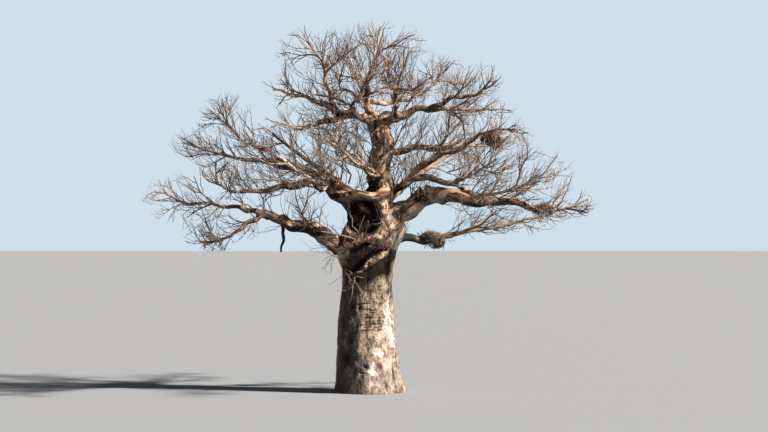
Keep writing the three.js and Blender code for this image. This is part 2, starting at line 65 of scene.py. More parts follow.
# Each bough: its parent, the share of that one's length where it starts, its tip, its bow, its radius at
# the root and the tip, and how soon its thickness falls where that isn't FALL
BOUGHS = {
    "leader": ("trunk", 0.84, (0.45, 0.1, 13.6), (0.3, 0.1, 0), (1.25, 0.5), 2.8),
    "right_root": ("trunk", 0.8, (2.79, -0.6, 9.84), (0, -0.1, 0.15), (0.85, 0.4)),
    "right_arm": ("right_root", 1, (9.25, -1.45, 9.1), (0, -0.2, 0.05), (0.4, 0.09), 1.1),
    "right_up": ("leader", 0.25, (3.52, -1, 11.87), (-0.1, -0.1, 0.1), (0.2, 0.14)),
    "right_up_out": ("right_up", 1, (5.38, -1.6, 12.8), (0.15, 0, -0.12), (0.14, 0.08)),
    "right_mid": ("right_up", 0.55, (5.34, -2.4, 9.78), (0.1, 0, 0.22), (0.17, 0.1)),
    "right_high": ("leader", 0.73, (4.45, 1.4, 12.24), (0, 0.2, 0.12), (0.2, 0.11)),
    "right_low": ("trunk", 0.86, (4.21, 1.7, 7.84), (-0.1, 0.2, -0.2), (0.27, 0.13)),
    "top_right": ("leader", 0.97, (3.54, -0.5, 14.13), (0.1, 0, 0.2), (0.3, 0.11)),
    "top_right_up": ("top_right", 0.76, (5.2, -1.5, 14.74), (0.05, -0.18, 0.16), (0.13, 0.07)),
    "top_left": ("leader", 0.97, (-2.84, -0.5, 14.58), (0, 0, -0.05), (0.24, 0.11)),
    "top_left_up": ("top_left", 0.62, (-2.23, -0.9, 16.24), (-0.12, 0, 0.05), (0.15, 0.08)),
    "top_left_low": ("top_left", 0.4, (-2.96, -1.7, 13.24), (-0.35, 0, -0.1), (0.2, 0.08)),
    "top_centre": ("leader", 0.97, (0.25, 0.2, 16.41), (-0.45, 0.1, 0), (0.24, 0.1)),
    "top_arch": ("top_centre", 0.38, (2.79, 1.6, 15.08), (0.1, 0.1, -0.25), (0.12, 0.07)),
    "left_mid": ("leader", 0.16, (-2.59, -0.4, 10.69), (-0.1, 0, 0.3), (0.66, 0.28)),
    "saddle": ("leader", 0.58, (-0.8, -0.58, 9.9), (0.8, -0.75, -0.42), (0.22, 0.2), 1.0),
    "left_up": ("left_mid", 1, (-6.2, 0.9, 11.62), (0.1, 0.1, 0.25), (0.26, 0.1)),
    "left_dome": ("left_up", 0.5, (-6.17, -0.6, 12.48), (0.2, 0, 0.12), (0.15, 0.08)),
    "left_mid_out": ("left_mid", 1, (-6.38, -1.3, 9.99), (0.1, 0, -0.12), (0.24, 0.09)),
    "left_low": ("trunk", 0.74, (-5.22, -0.8, 8.9), (-0.1, -0.1, 0.25), (0.52, 0.21)),
    "left_low_out": ("left_low", 1, (-7.27, -1.3, 9.25), (0, 0, 0.12), (0.15, 0.08)),
    "left_low_dip": ("left_low", 1, (-6.81, -1.6, 7.81), (0.1, 0, 0.12), (0.15, 0.08)),
    "hanging_stub": ("left_low", 0.8, (-4.37, -0.75, 7.01), (0.02, 0, 0), (0.1, 0.05)),
    "front_left": ("left_mid", 0.8, (-2.7, -4.4, 10.5), (0.1, -0.2, -0.3), (0.15, 0.1)),
    "front_right": ("right_mid", 0.6, (4.9, -4.6, 10.75), (0.05, -0.1, 0.1), (0.12, 0.08)),
    "front_mid": ("leader", 0.5, (-0.8, -3.6, 11.5), (0.15, -0.3, 0), (0.11, 0.07)),
    "front_top": ("top_right", 0.25, (1.3, -3.4, 14.8), (0, -0.2, 0.1), (0.15, 0.09)),
    "back_left": ("trunk", 0.91, (-2.66, 5, 11.3), (0.1, 0.3, 0.3), (0.46, 0.13)),
    "back_right": ("leader", 0.3, (2.76, 5, 11.09), (0.1, 0.5, 0.2), (0.4, 0.13)),
    "back_top": ("leader", 0.85, (-0.26, 3.6, 14.88), (-0.1, 0.3, 0.1), (0.24, 0.1)),
}

# Each mass of twigs: the middle and half sizes of its egg-shaped room, and its stem's far end.
MASSES = {
    "left_low_out": ((-9.1, -2, 9.64), (2.1, 2.42, 1.26), (-10.64, -1.8, 9.98)),
    "left_low_dip": ((-7.52, -2, 7.92), (1.65, 1.99, 0.94), (-8.05, -2.2, 7.47)),
    "left_mid_out": ((-7, -2.6, 10.8), (1.4, 2.31, 0.95), (-8.1, -2.8, 10.8)),
    "left_up": ((-8.16, 1.6, 12.4), (2.05, 2.62, 1.16), (-9.59, 1.8, 12.61)),
    "left_dome": ((-6.96, -0.6, 13.73), (1.68, 2.73, 1.26), (-7.51, -0.6, 14.47)),
    "top_left_low": ((-3.86, -2.6, 13.2), (1.46, 1.89, 0.92), (-4.64, -2.8, 13.39)),
    "top_left": ((-3.83, -0.6, 14.97), (1.67, 2.31, 1.24), (-4.81, -1, 15.05)),
    "top_left_up": ((-2.6, -1.4, 16.95), (2.1, 2.73, 1.3), (-3.31, -1.4, 17.6)),
    "top_centre": ((0.3, 0.3, 17.42), (2.6, 2.94, 1.24), (0.75, 0.3, 18.22)),
    "top_arch": ((3.63, 2.6, 15.85), (1.89, 2.52, 1.19), (4.14, 2.6, 16.56)),
    "top_right_up": ((5.45, -2, 15.45), (1.2, 2.31, 0.95), (6.05, -2.1, 15.7)),
    "top_right": ((5.5, 0.5, 14.09), (1.95, 2.1, 0.86), (6.7, 0.7, 14.19)),
    "right_high": ((6.08, 3.6, 12.82), (2.05, 2.52, 0.92), (7.39, 4, 13.04)),
    "right_up_out": ((6.51, -2.6, 12.76), (1.51, 2.1, 0.81), (7.39, -2.6, 13.01)),
    "right_mid": ((7.5, -2.8, 11), (2.7, 2.52, 1.4), (9.1, -3.2, 11.23)),
    "right_arm": ((9.83, -1.4, 9.44), (1.57, 2.31, 0.86), (10.9, -1.6, 9.69)),
    "right_low": ((7.07, 2, 8.55), (2.81, 2.1, 0.81), (8.98, 2.4, 8.8)),
    "front_left": ((-3.73, -6.6, 11.3), (2.48, 3.15, 1.4), (-4.36, -7.6, 11.7)),
    "front_right": ((5.4, -6.4, 11.15), (1.8, 2.7, 1.2), (6.1, -7.2, 11.55)),
    "front_mid": ((-1.6, -5, 12.5), (1.65, 2.73, 1.2), (-2, -5.8, 13)),
    "front_top": ((1.6, -4.4, 15.85), (2.1, 2.8, 1.3), (1.9, -4.8, 16.5)),
    "back_left": ((-4.43, 6.6, 12.55), (2.7, 3.15, 1.84), (-5.26, 7.6, 13.27)),
    "back_right": ((4.54, 6.8, 12.29), (2.7, 3.15, 1.84), (5.38, 7.8, 12.95)),
    "back_top": ((-0.99, 4.8, 16.29), (2.38, 2.94, 1.73), (-1.2, 5.4, 17.37)),
}

# Each nest: its middle and half sizes
NESTS = {
    "nest_low": ((3.14, 1.45, 7.55), (0.76, 0.66, 0.5)),
    "nest_high": ((6.02, -1.95, 12.5), (0.55, 0.46, 0.42)),
    "nest_far": ((8.62, -1.42, 9.08), (0.6, 0.44, 0.32)),
}

# Single branchlets at the fork and about the low boughs: root, middle, tip and radius
SHOOTS = [
    ((-1.25, -0.6, 6.24), (-0.69, -1.5, 5.69), (-1.14, -1.5, 5.1), 0.03),
    ((-1.25, -0.7, 6.2), (-0.98, -1.5, 5.75), (-0.84, -1.55, 5.6), 0.022),
    ((-0.59, -1.2, 7.6), (-1.28, -1.9, 7.84), (-2.42, -2.3, 8.05), 0.042),
    ((-1.3, -0.5, 6.5), (-1.75, -1.2, 6.85), (-2.15, -1.5, 6.95), 0.024),
    ((-1.3, -0.5, 6.9), (-1.6, -1.3, 7.2), (-2.2, -1.7, 7.35), 0.026),
    ((-0.54, -1.2, 7.8), (-0.75, -1.55, 8.35), (-0.95, -1.6, 8.8), 0.026),
    ((-0.54, -1.2, 7.8), (-0.42, -1.6, 8.3), (-0.2, -1.7, 8.85), 0.026),
    ((-0.3, -1.2, 7.75), (-0.1, -1.55, 8.15), (-0.05, -1.6, 8.6), 0.022),
    ((-5.45, -0.9, 8.85), (-5.85, -1.1, 8.3), (-5.5, -1.1, 7.95), 0.022),
    ((-5.6, -0.9, 8.85), (-5.6, -1.2, 8.25), (-5.85, -1.2, 8.05), 0.02),
    ((-7.5, -1.35, 9.2), (-8.15, -1.7, 8.5), (-7.9, -1.8, 7.95), 0.026),
    ((-7.2, -1.3, 9.15), (-7.5, -1.5, 8.5), (-7.2, -1.5, 8.1), 0.022),
    ((-8.6, -1.5, 9.4), (-9.1, -1.8, 8.8), (-8.8, -1.9, 8.3), 0.024),
    ((-3.05, -0.6, 8.55), (-3.2, -0.9, 9.35), (-2.5, -1.0, 10.1), 0.065),
    ((-3.1, -0.6, 8.55), (-3.5, -0.9, 9.3), (-3.65, -1.0, 10.2), 0.05),
    ((-5.35, -0.8, 8.95), (-5.1, -1.1, 9.75), (-4.5, -1.1, 10.2), 0.045),
    ((-4.2, -0.9, 10.15), (-4.9, -1.3, 9.65), (-5.6, -1.4, 9.3), 0.04),
    ((-3.4, -0.8, 8.1), (-2.95, -1.3, 8.5), (-2.2, -1.6, 9.05), 0.04),
    ((-2.2, -0.7, 8.0), (-2.45, -1.0, 8.75), (-2.0, -1.1, 9.6), 0.04),
    ((-1.75, -0.7, 7.8), (-2.1, -1.2, 8.4), (-1.9, -1.3, 9.0), 0.032),
    ((-2.7, -0.7, 8.25), (-2.85, -1.0, 8.8), (-2.4, -1.1, 9.25), 0.035),
    ((-1.5, -0.7, 7.7), (-1.7, -1.3, 8.1), (-2.3, -1.5, 8.5), 0.03),
    ((4.6, -1.3, 9.55), (4.9, -1.7, 8.9), (5.6, -1.9, 8.6), 0.03),
    ((6.0, -1.4, 9.5), (6.3, -1.8, 8.8), (7.1, -2.0, 8.6), 0.03),
]

# The black, crooked old branches over the leader's top, in the same way
OLD_BRANCHES = [
    ((-0.1, -0.5, 13.5), (-0.85, -1.0, 14.15), (-0.2, -1.0, 14.9), 0.13),
    ((-0.7, -0.9, 14.1), (-1.6, -1.2, 14.6), (-2.75, -1.3, 14.8), 0.09),
    ((-0.7, -0.9, 14.15), (-1.9, -1.2, 14.05), (-2.3, -1.2, 13.35), 0.085),
    ((-0.2, -1.0, 14.8), (0.9, -1.2, 15.1), (2.1, -1.3, 14.85), 0.07),
    ((-0.5, -1.0, 14.45), (-1.35, -1.1, 15.4), (-1.15, -1.2, 16.5), 0.06),
    ((-0.3, -1.0, 14.75), (0.15, -1.1, 15.8), (0.9, -1.2, 16.6), 0.06),
    ((-1.3, -0.7, 13.6), (-1.7, -1.2, 13.1), (-2.7, -1.4, 13.15), 0.07),
]

# The pale twigs that rise from the left limb and the leader and cross in front of the leader
CROSSING_TWIGS = [
    ((-1.0, -0.6, 10.45), (-1.4, -1.3, 11.9), (-1.9, -1.6, 13.3), 0.05),
    ((0.3, -0.5, 11.0), (-0.5, -1.3, 12.0), (-0.6, -1.6, 13.4), 0.05),
    ((0.45, -0.5, 11.4), (0.1, -1.4, 12.3), (0.9, -1.8, 13.3), 0.045),
    ((0.3, -0.4, 12.2), (-0.6, -1.2, 12.8), (-1.6, -1.5, 13.0), 0.045),
    ((0.85, -0.3, 12.0), (1.6, -1.0, 12.9), (1.9, -1.3, 14.0), 0.045),
    ((0.9, -0.4, 11.2), (1.6, -1.2, 11.9), (2.2, -1.5, 13.0), 0.045),
    ((-1.4, -0.5, 10.6), (-1.2, -1.2, 11.6), (-0.5, -1.5, 12.5), 0.05),
    ((0.6, -0.5, 10.8), (-0.3, -1.3, 11.3), (-1.4, -1.6, 11.6), 0.07),
    ((-1.8, -0.5, 10.75), (-2.3, -1.2, 11.5), (-2.5, -1.4, 12.5), 0.045),
]

# Openings that go right through the crown, in the trunk's plane: middle x and z, half width, half height
OPENINGS = [
    (3.3, 8.7, 1.2, 0.8), (-1.85, 9.1, 0.6, 0.7), (-4.45, 9.3, 0.5, 0.3), (-5.2, 13.95, 0.5, 0.6),
    (-1.0, 10.85, 0.3, 0.45), (1.65, 9.85, 0.5, 0.7), (-8.1, 10.35, 0.8, 0.4), (0.65, 14.4, 0.6, 0.22),
    (-1.3, 15.9, 0.4, 0.35), (4.05, 11.1, 0.5, 0.5), (-3.9, 13.7, 0.5, 0.35), (-4.4, 12.6, 0.45, 0.3),
    (5.6, 13.5, 0.4, 0.25), (-9.55, 11.45, 0.65, 0.5), (-4.2, 15.1, 0.75, 0.5),
    (9.0, 10.1, 0.45, 0.35), (2.75, 16.35, 0.35, 0.4), (5.9, 11.75, 0.5, 0.3), (-0.2, 9.05, 0.7, 0.6),
    (-3.35, 12.5, 0.5, 0.45), (-3.2, 11.5, 0.4, 0.3),
]

SKIN_TWIGS = 15          # points near each room's skin that the source's twigs reach for
INNER_TWIGS = 4          # points deeper in the room
INNER_FIRST = 1000       # number of the scatter's first deeper point
MORE_SKIN_TWIGS = 33     # the same again for the finer twigs that only show here
MORE_INNER_TWIGS = 12
# How many of those finer points a room gets, as a share of the two numbers, where it isn't 1. Most rooms at
# the front and all at the back get fewer, because they are seen one behind the other.
FULLNESS = {
    "front_left": 0.3, "front_right": 0.5, "front_mid": 0.85, "back_left": 0.45, "back_right": 0.45,
    "back_top": 0.45, "left_low_out": 0.75, "left_up": 0.7, "left_dome": 0.5,
    "top_left_low": 0.4, "top_left": 0.35, "top_left_up": 0.8, "top_centre": 1.35, "top_arch": 0.9,
    "top_right_up": 0.7, "top_right": 0.75, "right_high": 0.75, "right_up_out": 0.7, "right_mid": 0.85,
}
SHOOT_SPACING = 0.42     # between the slim twigs that a bough bears itself
LIMB_TWIGS = 4.2         # points round each metre of a bough
ROOM_MARGIN = 0.02       # how much deeper in its own room than in any other a twig stays
TWIG_LENGTHS = (0.4, 3.4)         # least and most of the source's twigs
FINE_TWIG_LENGTHS = (0.3, 2.9)    # and of the finer ones
THINNEST = 0.022         # least radius of the source's twigs
FINEST = 0.013           # and of the finer ones
TWIG_TAPER = 0.6         # share of its thickness that a twig loses by its tip
CLEARANCE = 0.05         # room between a twig of the source and whatever it passes
TWIGLESS = ("trunk", "hanging_stub")
MOST_TRIANGLES = 190000  # in one piece of twigs
GROWTH_STEP = 1 / 1.22074408460575947536    # from the root of x^4 = x + 1; its powers scatter evenly
CROWN_HEART = np.array([0.2, 0.0, 7.3])     # what the finer twigs grow away from
UP = np.array([0.0, 0.0, 1.0])
EYE = (0.75, -120, 8.8)  # the camera's place

# How side twigs leave each kind of stem: their spacing, the angle in degrees that they open to, their
# length as a share of the stem's and at most, their least radius, how far they curve up as a share of
# their length, a salt of their own, and how many a stem bears at most
SIDE_TWIGS = {
    "main": dict(spacing=0.3, cone=35, ratio=0.78, longest=1.2, thinnest=0.0105, lift=0.3, salt=11),
    "shoots": dict(spacing=0.32, cone=50, ratio=0.55, longest=0.8, thinnest=0.0105, lift=0.1, salt=13,
                   most=5),
    "old": dict(spacing=0.2, cone=50, ratio=0.5, longest=1.3, thinnest=0.016, lift=0.2, salt=14),
    "crossing": dict(spacing=0.17, cone=48, ratio=0.6, longest=1.3, thinnest=0.013, lift=0.15, salt=15),
    "second": dict(spacing=0.24, cone=33, ratio=0.62, longest=0.58, thinnest=0.0082, lift=0.26, salt=12),
}
# Bark tints of the twigs, dealt by chance. The cream and tan stand partly for sunlit twigs, as painted light,
# and the near-black brown partly for twigs in shade, as painted shade.
TWIG_TINTS = {
    "tan": (0.19, 0.125, 0.082),
    "cream": (0.28, 0.225, 0.175),
    "brown": (0.06, 0.042, 0.033),
    "mauve": (0.085, 0.069, 0.069),
}
# Running sums of the tints' shares in each kind of twigs
TINT_SHARES = {
    "old": [0.1, 0.1, 1.0, 1.0],
    "main": [0.55, 0.82, 0.95, 1.0],
    "second": [0.32, 0.50, 0.74, 1.0],
    "third": [0.06, 0.14, 0.55, 1.0],
}
# Straws of each nest: how many to a metre of half width, how long the longest is, and the nest's thick side
NEST_MAKE = {
    "nest_low": (1700, 0.62, (0.6, -0.2, 0.8)),
    "nest_high": (2100, 0.6, (0.35, -0.3, 0.9)),
    "nest_far": (900, 0.7, (0.2, -0.5, 0.85)),
}
# The grey straws are painted light, laid on the outside of the side that faces up towards the light.
STRAW_TINTS = {"nest_dark": (0.028, 0.019, 0.013), "nest_grey": (0.17, 0.12, 0.082)}

# Bark by the streaks in it, low on the trunk and high in the crown: place on the ramp and colour
LOW_BARK = [(0.35, (0.06, 0.04, 0.029)), (0.44, (0.14, 0.097, 0.07)), (0.53, (0.225, 0.164, 0.124)),
            (0.65, (0.31, 0.24, 0.19))]
HIGH_BARK = [(0.36, (0.035, 0.018, 0.011)), (0.45, (0.155, 0.08, 0.045)), (0.52, (0.34, 0.20, 0.118)),
             (0.62, (0.52, 0.35, 0.23))]
# Tints that the bark takes in layers. The near-black one of hollows and creases is painted shade, as is the
# grey-brown one of the side away from the light and of the undersides, which is partly dark bark; the pale
# one is worn bark and painted light.
BARK_TINTS = {
    "ruddy": (0.47, 0.27, 0.16),
    "fleck": (0.4, 0.29, 0.205),
    "crack": (0.035, 0.021, 0.014),
    "dark_patches_and_painted_shade": (0.03, 0.018, 0.012),
    "weathered": (0.042, 0.033, 0.028),
    "wear_and_painted_light": (0.56, 0.49, 0.42),
    "hollow": (0.010, 0.007, 0.005),
}

# The bark's named places

# The lip of bark that arches over a hollow mouth under the fork, and the brow that slants below it, as
# points on the unrolled skin: angle from FOLD_MIDDLE and height
FOLD_MIDDLE = -1.9
SKIN_RADIUS = 1.3
LIP = [(-1.05, 6.15), (-0.9, 6.5), (-0.78, 7.05), (-0.52, 7.33), (-0.11, 7.47), (0.22, 7.7), (0.51, 7.77),
       (0.81, 7.65), (1.03, 7.42), (1.14, 7.15)]
BROW = [(-0.3, 5.74), (-0.11, 5.92), (0.29, 6.36), (0.655, 6.7), (0.92, 7.0)]

# Hollows of the trunk: angle, height, half width, half height, depth and the darkness of the shade painted in
# it. A knob has a negative depth, and a negative darkness takes painted shade away.
HOLLOWS = [
    (-2.35, 1.78, 0.2, 0.3, 0.16, 0.9), (-1.83, 4.28, 0.07, 0.2, 0.08, 0.8),
    (-2.1, 4.3, 0.08, 0.2, 0.07, 0.8), (-2.1, 2.6, 0.16, 0.4, 0.03, 0.5),
    (-1.62, 1.3, 0.08, 0.1, 0.1, 0.9), (-2.46, 5.4, 0.1, 0.13, -0.16, -0.5),
    (-0.75, 4.6, 0.08, 0.1, -0.07, 0.0), (-1.25, 1.6, 0.3, 0.3, -0.06, 0.0),
    (-0.72, 6.5, 0.2, 0.5, 0.05, 0.8), (-0.35, 7.0, 0.42, 0.62, 0.08, 1.1),
    (-0.1, 7.7, 0.4, 0.35, 0.05, 0.9), (-0.75, 6.1, 0.3, 0.35, 0.03, 0.8),
    (-2.6, 3.4, 0.2, 0.5, 0.06, 0.5), (-1.53, 7.76, 0.035, 0.05, 0.06, 0.9),
    (-1.41, 7.76, 0.035, 0.05, 0.06, 0.9), (-1.94, 1.35, 0.12, 0.14, -0.08, 0.0),
    (-2.3, 2.65, 0.06, 0.16, -0.07, 0.0), (-0.6, 1.0, 0.05, 0.5, 0.06, 0.7),
    (-1.0, 0.4, 0.04, 0.4, 0.06, 0.7), (-2.0, 0.9, 0.05, 0.3, 0.06, 0.7), (1.2, 5.8, 0.18, 0.3, 0.12, 0.8),
    (2.2, 3.2, 0.14, 0.4, 0.10, 0.8), (0.4, 2.4, 0.12, 0.3, 0.10, 0.8), (0.6, 6.6, 0.2, 0.3, -0.10, 0.0),
    (2.7, 6.9, 0.2, 0.25, -0.10, 0.0), (1.7, 1.4, 0.2, 0.3, 0.08, 0.7), (-0.3, 5.3, 0.1, 0.2, 0.07, 0.7),
]

# Cross wrinkles of the front: height, the angles between which each runs, and depth
WRINKLES = [
    (5.12, -1.95, -1.1, 0.6), (4.42, -2.2, -0.85, 0.9), (4.1, -1.9, -0.8, 0.8), (3.94, -2.3, -1.0, 0.9),
    (3.74, -1.8, -0.75, 0.7), (3.4, -2.1, -0.8, 1.0), (3.26, -1.75, -0.9, 0.6), (3.1, -2.2, -0.8, 1.0),
    (2.98, -2.3, -1.6, 0.8), (2.66, -1.65, -1.1, 0.7), (1.87, -2.0, -1.45, 0.9), (1.06, -2.1, -1.45, 0.9),
]

# How far round the painted shade of the side away from the light, partly dark bark, reaches towards the
# front, by height
PAINTED_SHADE_HEIGHT = [0.0, 0.8, 1.1, 1.9, 2.3, 3.0, 4.0, 4.6, 5.4, 6.2]
PAINTED_SHADE_EDGE = [-2.2, -1.95, -1.65, -1.6, -1.98, -1.95, -1.82, -1.74, -1.72, -1.6]

# Pale patches where the bark is worn, among them a strip down the side that faces the light, partly painted
# light: angle, height, half width, half height and strength
PALE_PATCHES = [
    (-1.42, 1.3, 0.26, 0.42, 0.8), (-1.2, 2.05, 0.3, 0.4, 0.6), (-0.62, 5.0, 0.26, 1.2, 0.6),
    (-0.62, 3.2, 0.28, 1.7, 0.55), (-0.75, 1.0, 0.36, 1.1, 0.2), (-1.3, 0.5, 0.3, 0.2, 0.3),
    (-0.85, 1.5, 0.3, 0.5, 0.35), (-1.0, 3.0, 0.2, 0.4, 0.3),
    (0.5, 2.6, 0.4, 1.6, 0.35), (2.0, 1.6, 0.4, 1.0, 0.35),
]

# The recess over the lip, between the roots of the boughs, painted dark as shade, and the knob that stands in
# it
RECESS = (-0.3, 8.72)
RECESS_HALF = (0.88, 0.92)
RECESS_DEPTH = 0.95
KNOB = (-0.25, 9.2)
KNOB_HALF = (0.26, 0.13)

# Places round the fork where the bark is painted pale as light on the bulging shoulder and the right root,
# and places
# where it is ruddy: middle and half sizes of an egg, and how much so at most
PAINTED_LIGHT_EGGS = [((1.05, -0.9, 8.4), (0.75, 0.9, 0.95), 0.4), ((2.3, -1.0, 9.45), (0.9, 0.8, 0.5), 0.25)]
RUDDY = [
    ((0.9, -0.9, 8.2), (0.8, 0.9, 0.8), 0.5), ((2.1, -1.0, 9.3), (1.2, 0.9, 0.6), 0.75),
    ((4.6, -1.2, 9.95), (1.8, 0.9, 0.5), 0.6), ((-0.3, -1.2, 9.75), (1.2, 0.8, 0.45), 0.8),
    ((0.9, -0.9, 10.4), (0.4, 0.7, 0.9), 0.5), ((-2.2, -1.0, 10.1), (1.5, 0.8, 0.5), 0.5),
    ((-0.4, -0.8, 12.6), (0.9, 0.9, 1.0), 0.5),
]
SADDLE_RUDDY = 0.85      # all over the saddle

# Places where shade is painted on the boughs, nearly black: middle and half sizes of an egg
PAINTED_SHADE_SPOTS = [
    ((0.35, -0.6, 10.3), (0.8, 0.8, 0.6)), ((2.6, -1.0, 9.68), (0.42, 0.9, 0.33)),
    ((1.75, 0.9, 7.95), (0.8, 0.9, 0.5)), ((-1.35, -0.7, 14.1), (0.75, 0.8, 0.4)),
    ((0.0, -0.2, 15.0), (0.4, 0.6, 0.5)), ((-3.4, -1.0, 7.98), (1.9, 0.6, 0.28)),
    ((-2.1, -0.9, 13.2), (0.6, 0.6, 0.3)), ((4.9, -1.4, 9.3), (0.8, 0.5, 0.15)),
    ((-3.9, -1.0, 9.95), (0.7, 0.6, 0.15)), ((1.6, -0.7, 9.95), (0.5, 0.6, 0.35)),
    ((0.2, -1.2, 11.1), (0.35, 0.5, 0.3)), ((-2.0, -0.8, 9.75), (0.7, 0.6, 0.2)),
    ((0.5, -1.3, 9.15), (0.32, 0.7, 0.4)), ((0.2, -0.7, 13.1), (0.3, 0.5, 0.5)),
    ((-2.15, -0.9, 10.2), (0.35, 0.7, 0.3)), ((-4.4, -0.75, 7.6), (0.35, 0.4, 0.9)),
    ((-2.55, -3.0, 10.2), (0.45, 1.8, 0.4)), ((-1.9, -1.0, 8.35), (0.8, 0.8, 0.45)),
]

# Turns points half over, so that noise made of them shows none of its square cells
TURNED = np.array([[0.80, -0.36, 0.48], [0.60, 0.48, -0.64], [0.0, 0.80, 0.60]])

MASS_NAMES = list(MASSES)
ROOM_MIDDLE = np.array([room[0] for room in MASSES.values()], float)
ROOM_HALF = np.array([room[1] for room in MASSES.values()], float)

# A grown twig: its base, the way it sets off, its length, how far it curves off that way by its tip, the
# number of the twig that bears it (-1 for none), at what share of that one, and the path back to the stem
Grown = namedtuple("Grown", "base way length curve bearer share path")


def unit(v):
    """Each row of v scaled to length 1."""
    return v / np.maximum(np.linalg.norm(v, axis=-1, keepdims=True), 1e-12)


def chance(number, salt):
    """The same number between 0 and 1 every time for a whole number and a salt."""
    h = np.atleast_1d(number).astype(np.uint32) ^ np.uint32((salt * 0x9E3779B9) & 0xFFFFFFFF)
    h = h * np.uint32(0x85EBCA6B)
    h = (h ^ (h >> np.uint32(13))) * np.uint32(0xC2B2AE35)
    h = (h ^ (h >> np.uint32(16))) * np.uint32(0x27D4EB2F)
    return (h ^ (h >> np.uint32(15))) / 2.0**32


def any_way(number, salt):
    """A vector of three chances from -1/2 to 1/2, drawn with three salts in a row."""
    return np.stack([chance(number, salt + k) for k in range(3)], 1) - 0.5


def square_to(v, along):
    """Each row of v less its part along a unit vector, scaled to length 1."""
    return unit(v - along * (v * along).sum(1, keepdims=True))


def turned_from(angle, where):
    """How far round an angle is from another one, between half a turn back and half a turn on."""
    return np.arctan2(np.sin(angle - where), np.cos(angle - where))


def eased(share):
    """A smooth step from 0 to 1: three times the square less twice the cube."""
    return share * share * (3 - 2 * share)


# Limbs: a line in space and a radius, both by the share of the length from root to tip

def trunk_place(t):
    """The straight line to the top, bowed out by 4t(1-t) of the lean."""
    t = np.asarray(t, float)[..., None]
    return TRUNK_TOP * t + TRUNK_LEAN * 4 * t * (1 - t)


def trunk_thick(t):
    """The radius of the trunk's profile, straight from each height of its table to the next."""
    return np.interp(np.asarray(t, float) * TRUNK_TOP[2], PROFILE_HEIGHT, PROFILE_RADIUS)


def bough(order, limbs, parent, share, tip, bow, thick, fall=FALL):
    """Root to tip, plus 4t(1-t) of the bow and of a slow sway; the radius falls as (1-t)^fall."""
    start = limbs[parent][0](share)
    span = np.array(tip, float) - start
    wander = WOBBLE * np.linalg.norm(span)
    phase = np.array([chance(order, salt)[0] * 2 * math.pi for salt in (1, 2, 3)])

    def place(t):
        t = np.asarray(t, float)[..., None]
        hump = 4 * t * (1 - t)
        sway = wander * hump * np.sin(2 * math.pi * 2.2 * t + phase)
        return start + span * t + np.array(bow, float) * hump + sway

    def radius(t):
        return thick[1] + (thick[0] - thick[1]) * np.maximum(0, 1 - np.asarray(t, float)) ** fall

    return place, radius


LIMBS = {"trunk": (trunk_place, trunk_thick)}
for order, (name, spec) in enumerate(BOUGHS.items(), 1):
    LIMBS[name] = bough(order, LIMBS, *spec)


def heading(place, t):
    """The way a limb runs at each share of its length."""
    t = np.asarray(t, float)
    return unit(place(np.minimum(1, t + 0.01)) - place(np.maximum(0, t - 0.01)))


def length_of(place):
    """A limb's length, straight from its root to its tip."""
    return np.linalg.norm(place(1.0) - place(0.0))


# Twigs

def twig_place(twigs, share):
    """Where each twig is at its share s of the length, and which way it runs there:
    base + way * length * s + curve * s^2 + sway * sin(3 pi s)."""
    s = np.asarray(share, float)[..., None]
    long_way = twigs["way"] * twigs["length"][:, None]
    spot = twigs["base"] + long_way * s + twigs["curve"] * s * s + twigs["sway"] * np.sin(3 * math.pi * s)
    slope = long_way + 2 * twigs["curve"] * s + twigs["sway"] * 3 * math.pi * np.cos(3 * math.pi * s)
    return spot, unit(slope)


def tips_of(twigs):
    """Where each twig ends."""
    return twig_place(twigs, np.ones(len(twigs["length"])))[0]


def twig_set(base, way, length, curve, radius, number, wander):
    """Twigs as arrays by name, a row to each. Each sways to one side and back; chance picks the side, and
    how much of "wander" times its length the sway is."""
    sway = square_to(any_way(number, 21), way) * (wander * length * chance(number, 24))[:, None]
    return {"base": base, "way": way, "length": length, "curve": curve, "radius": radius, "number": number,
            "sway": sway}


def join(*sets):
    """Several sets of twigs as one."""
    return {key: np.concatenate([twigs[key] for twigs in sets]) for key in sets[0]}


def choose(twigs, rows):
    """The twigs of some rows of a set."""
    return {key: values[rows] for key, values in twigs.items()}


def depth_in_rooms(points):
    """For every point and room: 0 in the middle of the room and 1 at its skin."""
    return (((points[..., None, :] - ROOM_MIDDLE) / ROOM_HALF) ** 2).sum(-1)


def in_openings(points):
    """Whether each point lies in one of the openings that go right through the crown, as the camera sees
    it: its x and height drawn to the plane of the trunk and set against an ellipse."""
    x, z, wide, tall = np.array(OPENINGS).T
    away, level = -EYE[1], EYE[2]
    k = away / (away + points[:, 1:2])
    across = (points[:, 0:1] * k - x) / wide
    up = (level + (points[:, 2:3] - level) * k - z) / tall
    return (across**2 + up**2 < 1).any(1)


def distance_to_lines(points, start, end):
    """Distances of every point to every straight length from start to end."""
    line = end - start
    to = points[:, None] - start
    share = np.clip((to * line).sum(-1) / np.maximum((line * line).sum(-1), 1e-12), 0, 1)
    return np.linalg.norm(to - line * share[..., None], axis=-1)


def pieces_of(place, radius, count):
    """A limb as straight lengths: their starts, ends and radii."""
    t = np.arange(count + 1) / count
    spots = place(t)
    return spots[:-1], spots[1:], np.broadcast_to(radius(t[:-1]), (count,))


def scatter(index, number, on_skin):
    """One point of an even scatter in a room, close under its skin or deeper in it."""
    u = [(0.5 + index * 0.137 + number * GROWTH_STEP**power) % 1 for power in (1, 2, 3)]
    z = 2 * u[0] - 1
    turn = 2 * math.pi * u[1]
    outwards = 0.84 + 0.16 * u[2] if on_skin else 0.9 * u[2] ** (1 / 2.4)
    flat = math.sqrt(1 - z * z)
    way = np.array([flat * math.cos(turn), flat * math.sin(turn), z])
    return ROOM_MIDDLE[index] + way * ROOM_HALF[index] * outwards


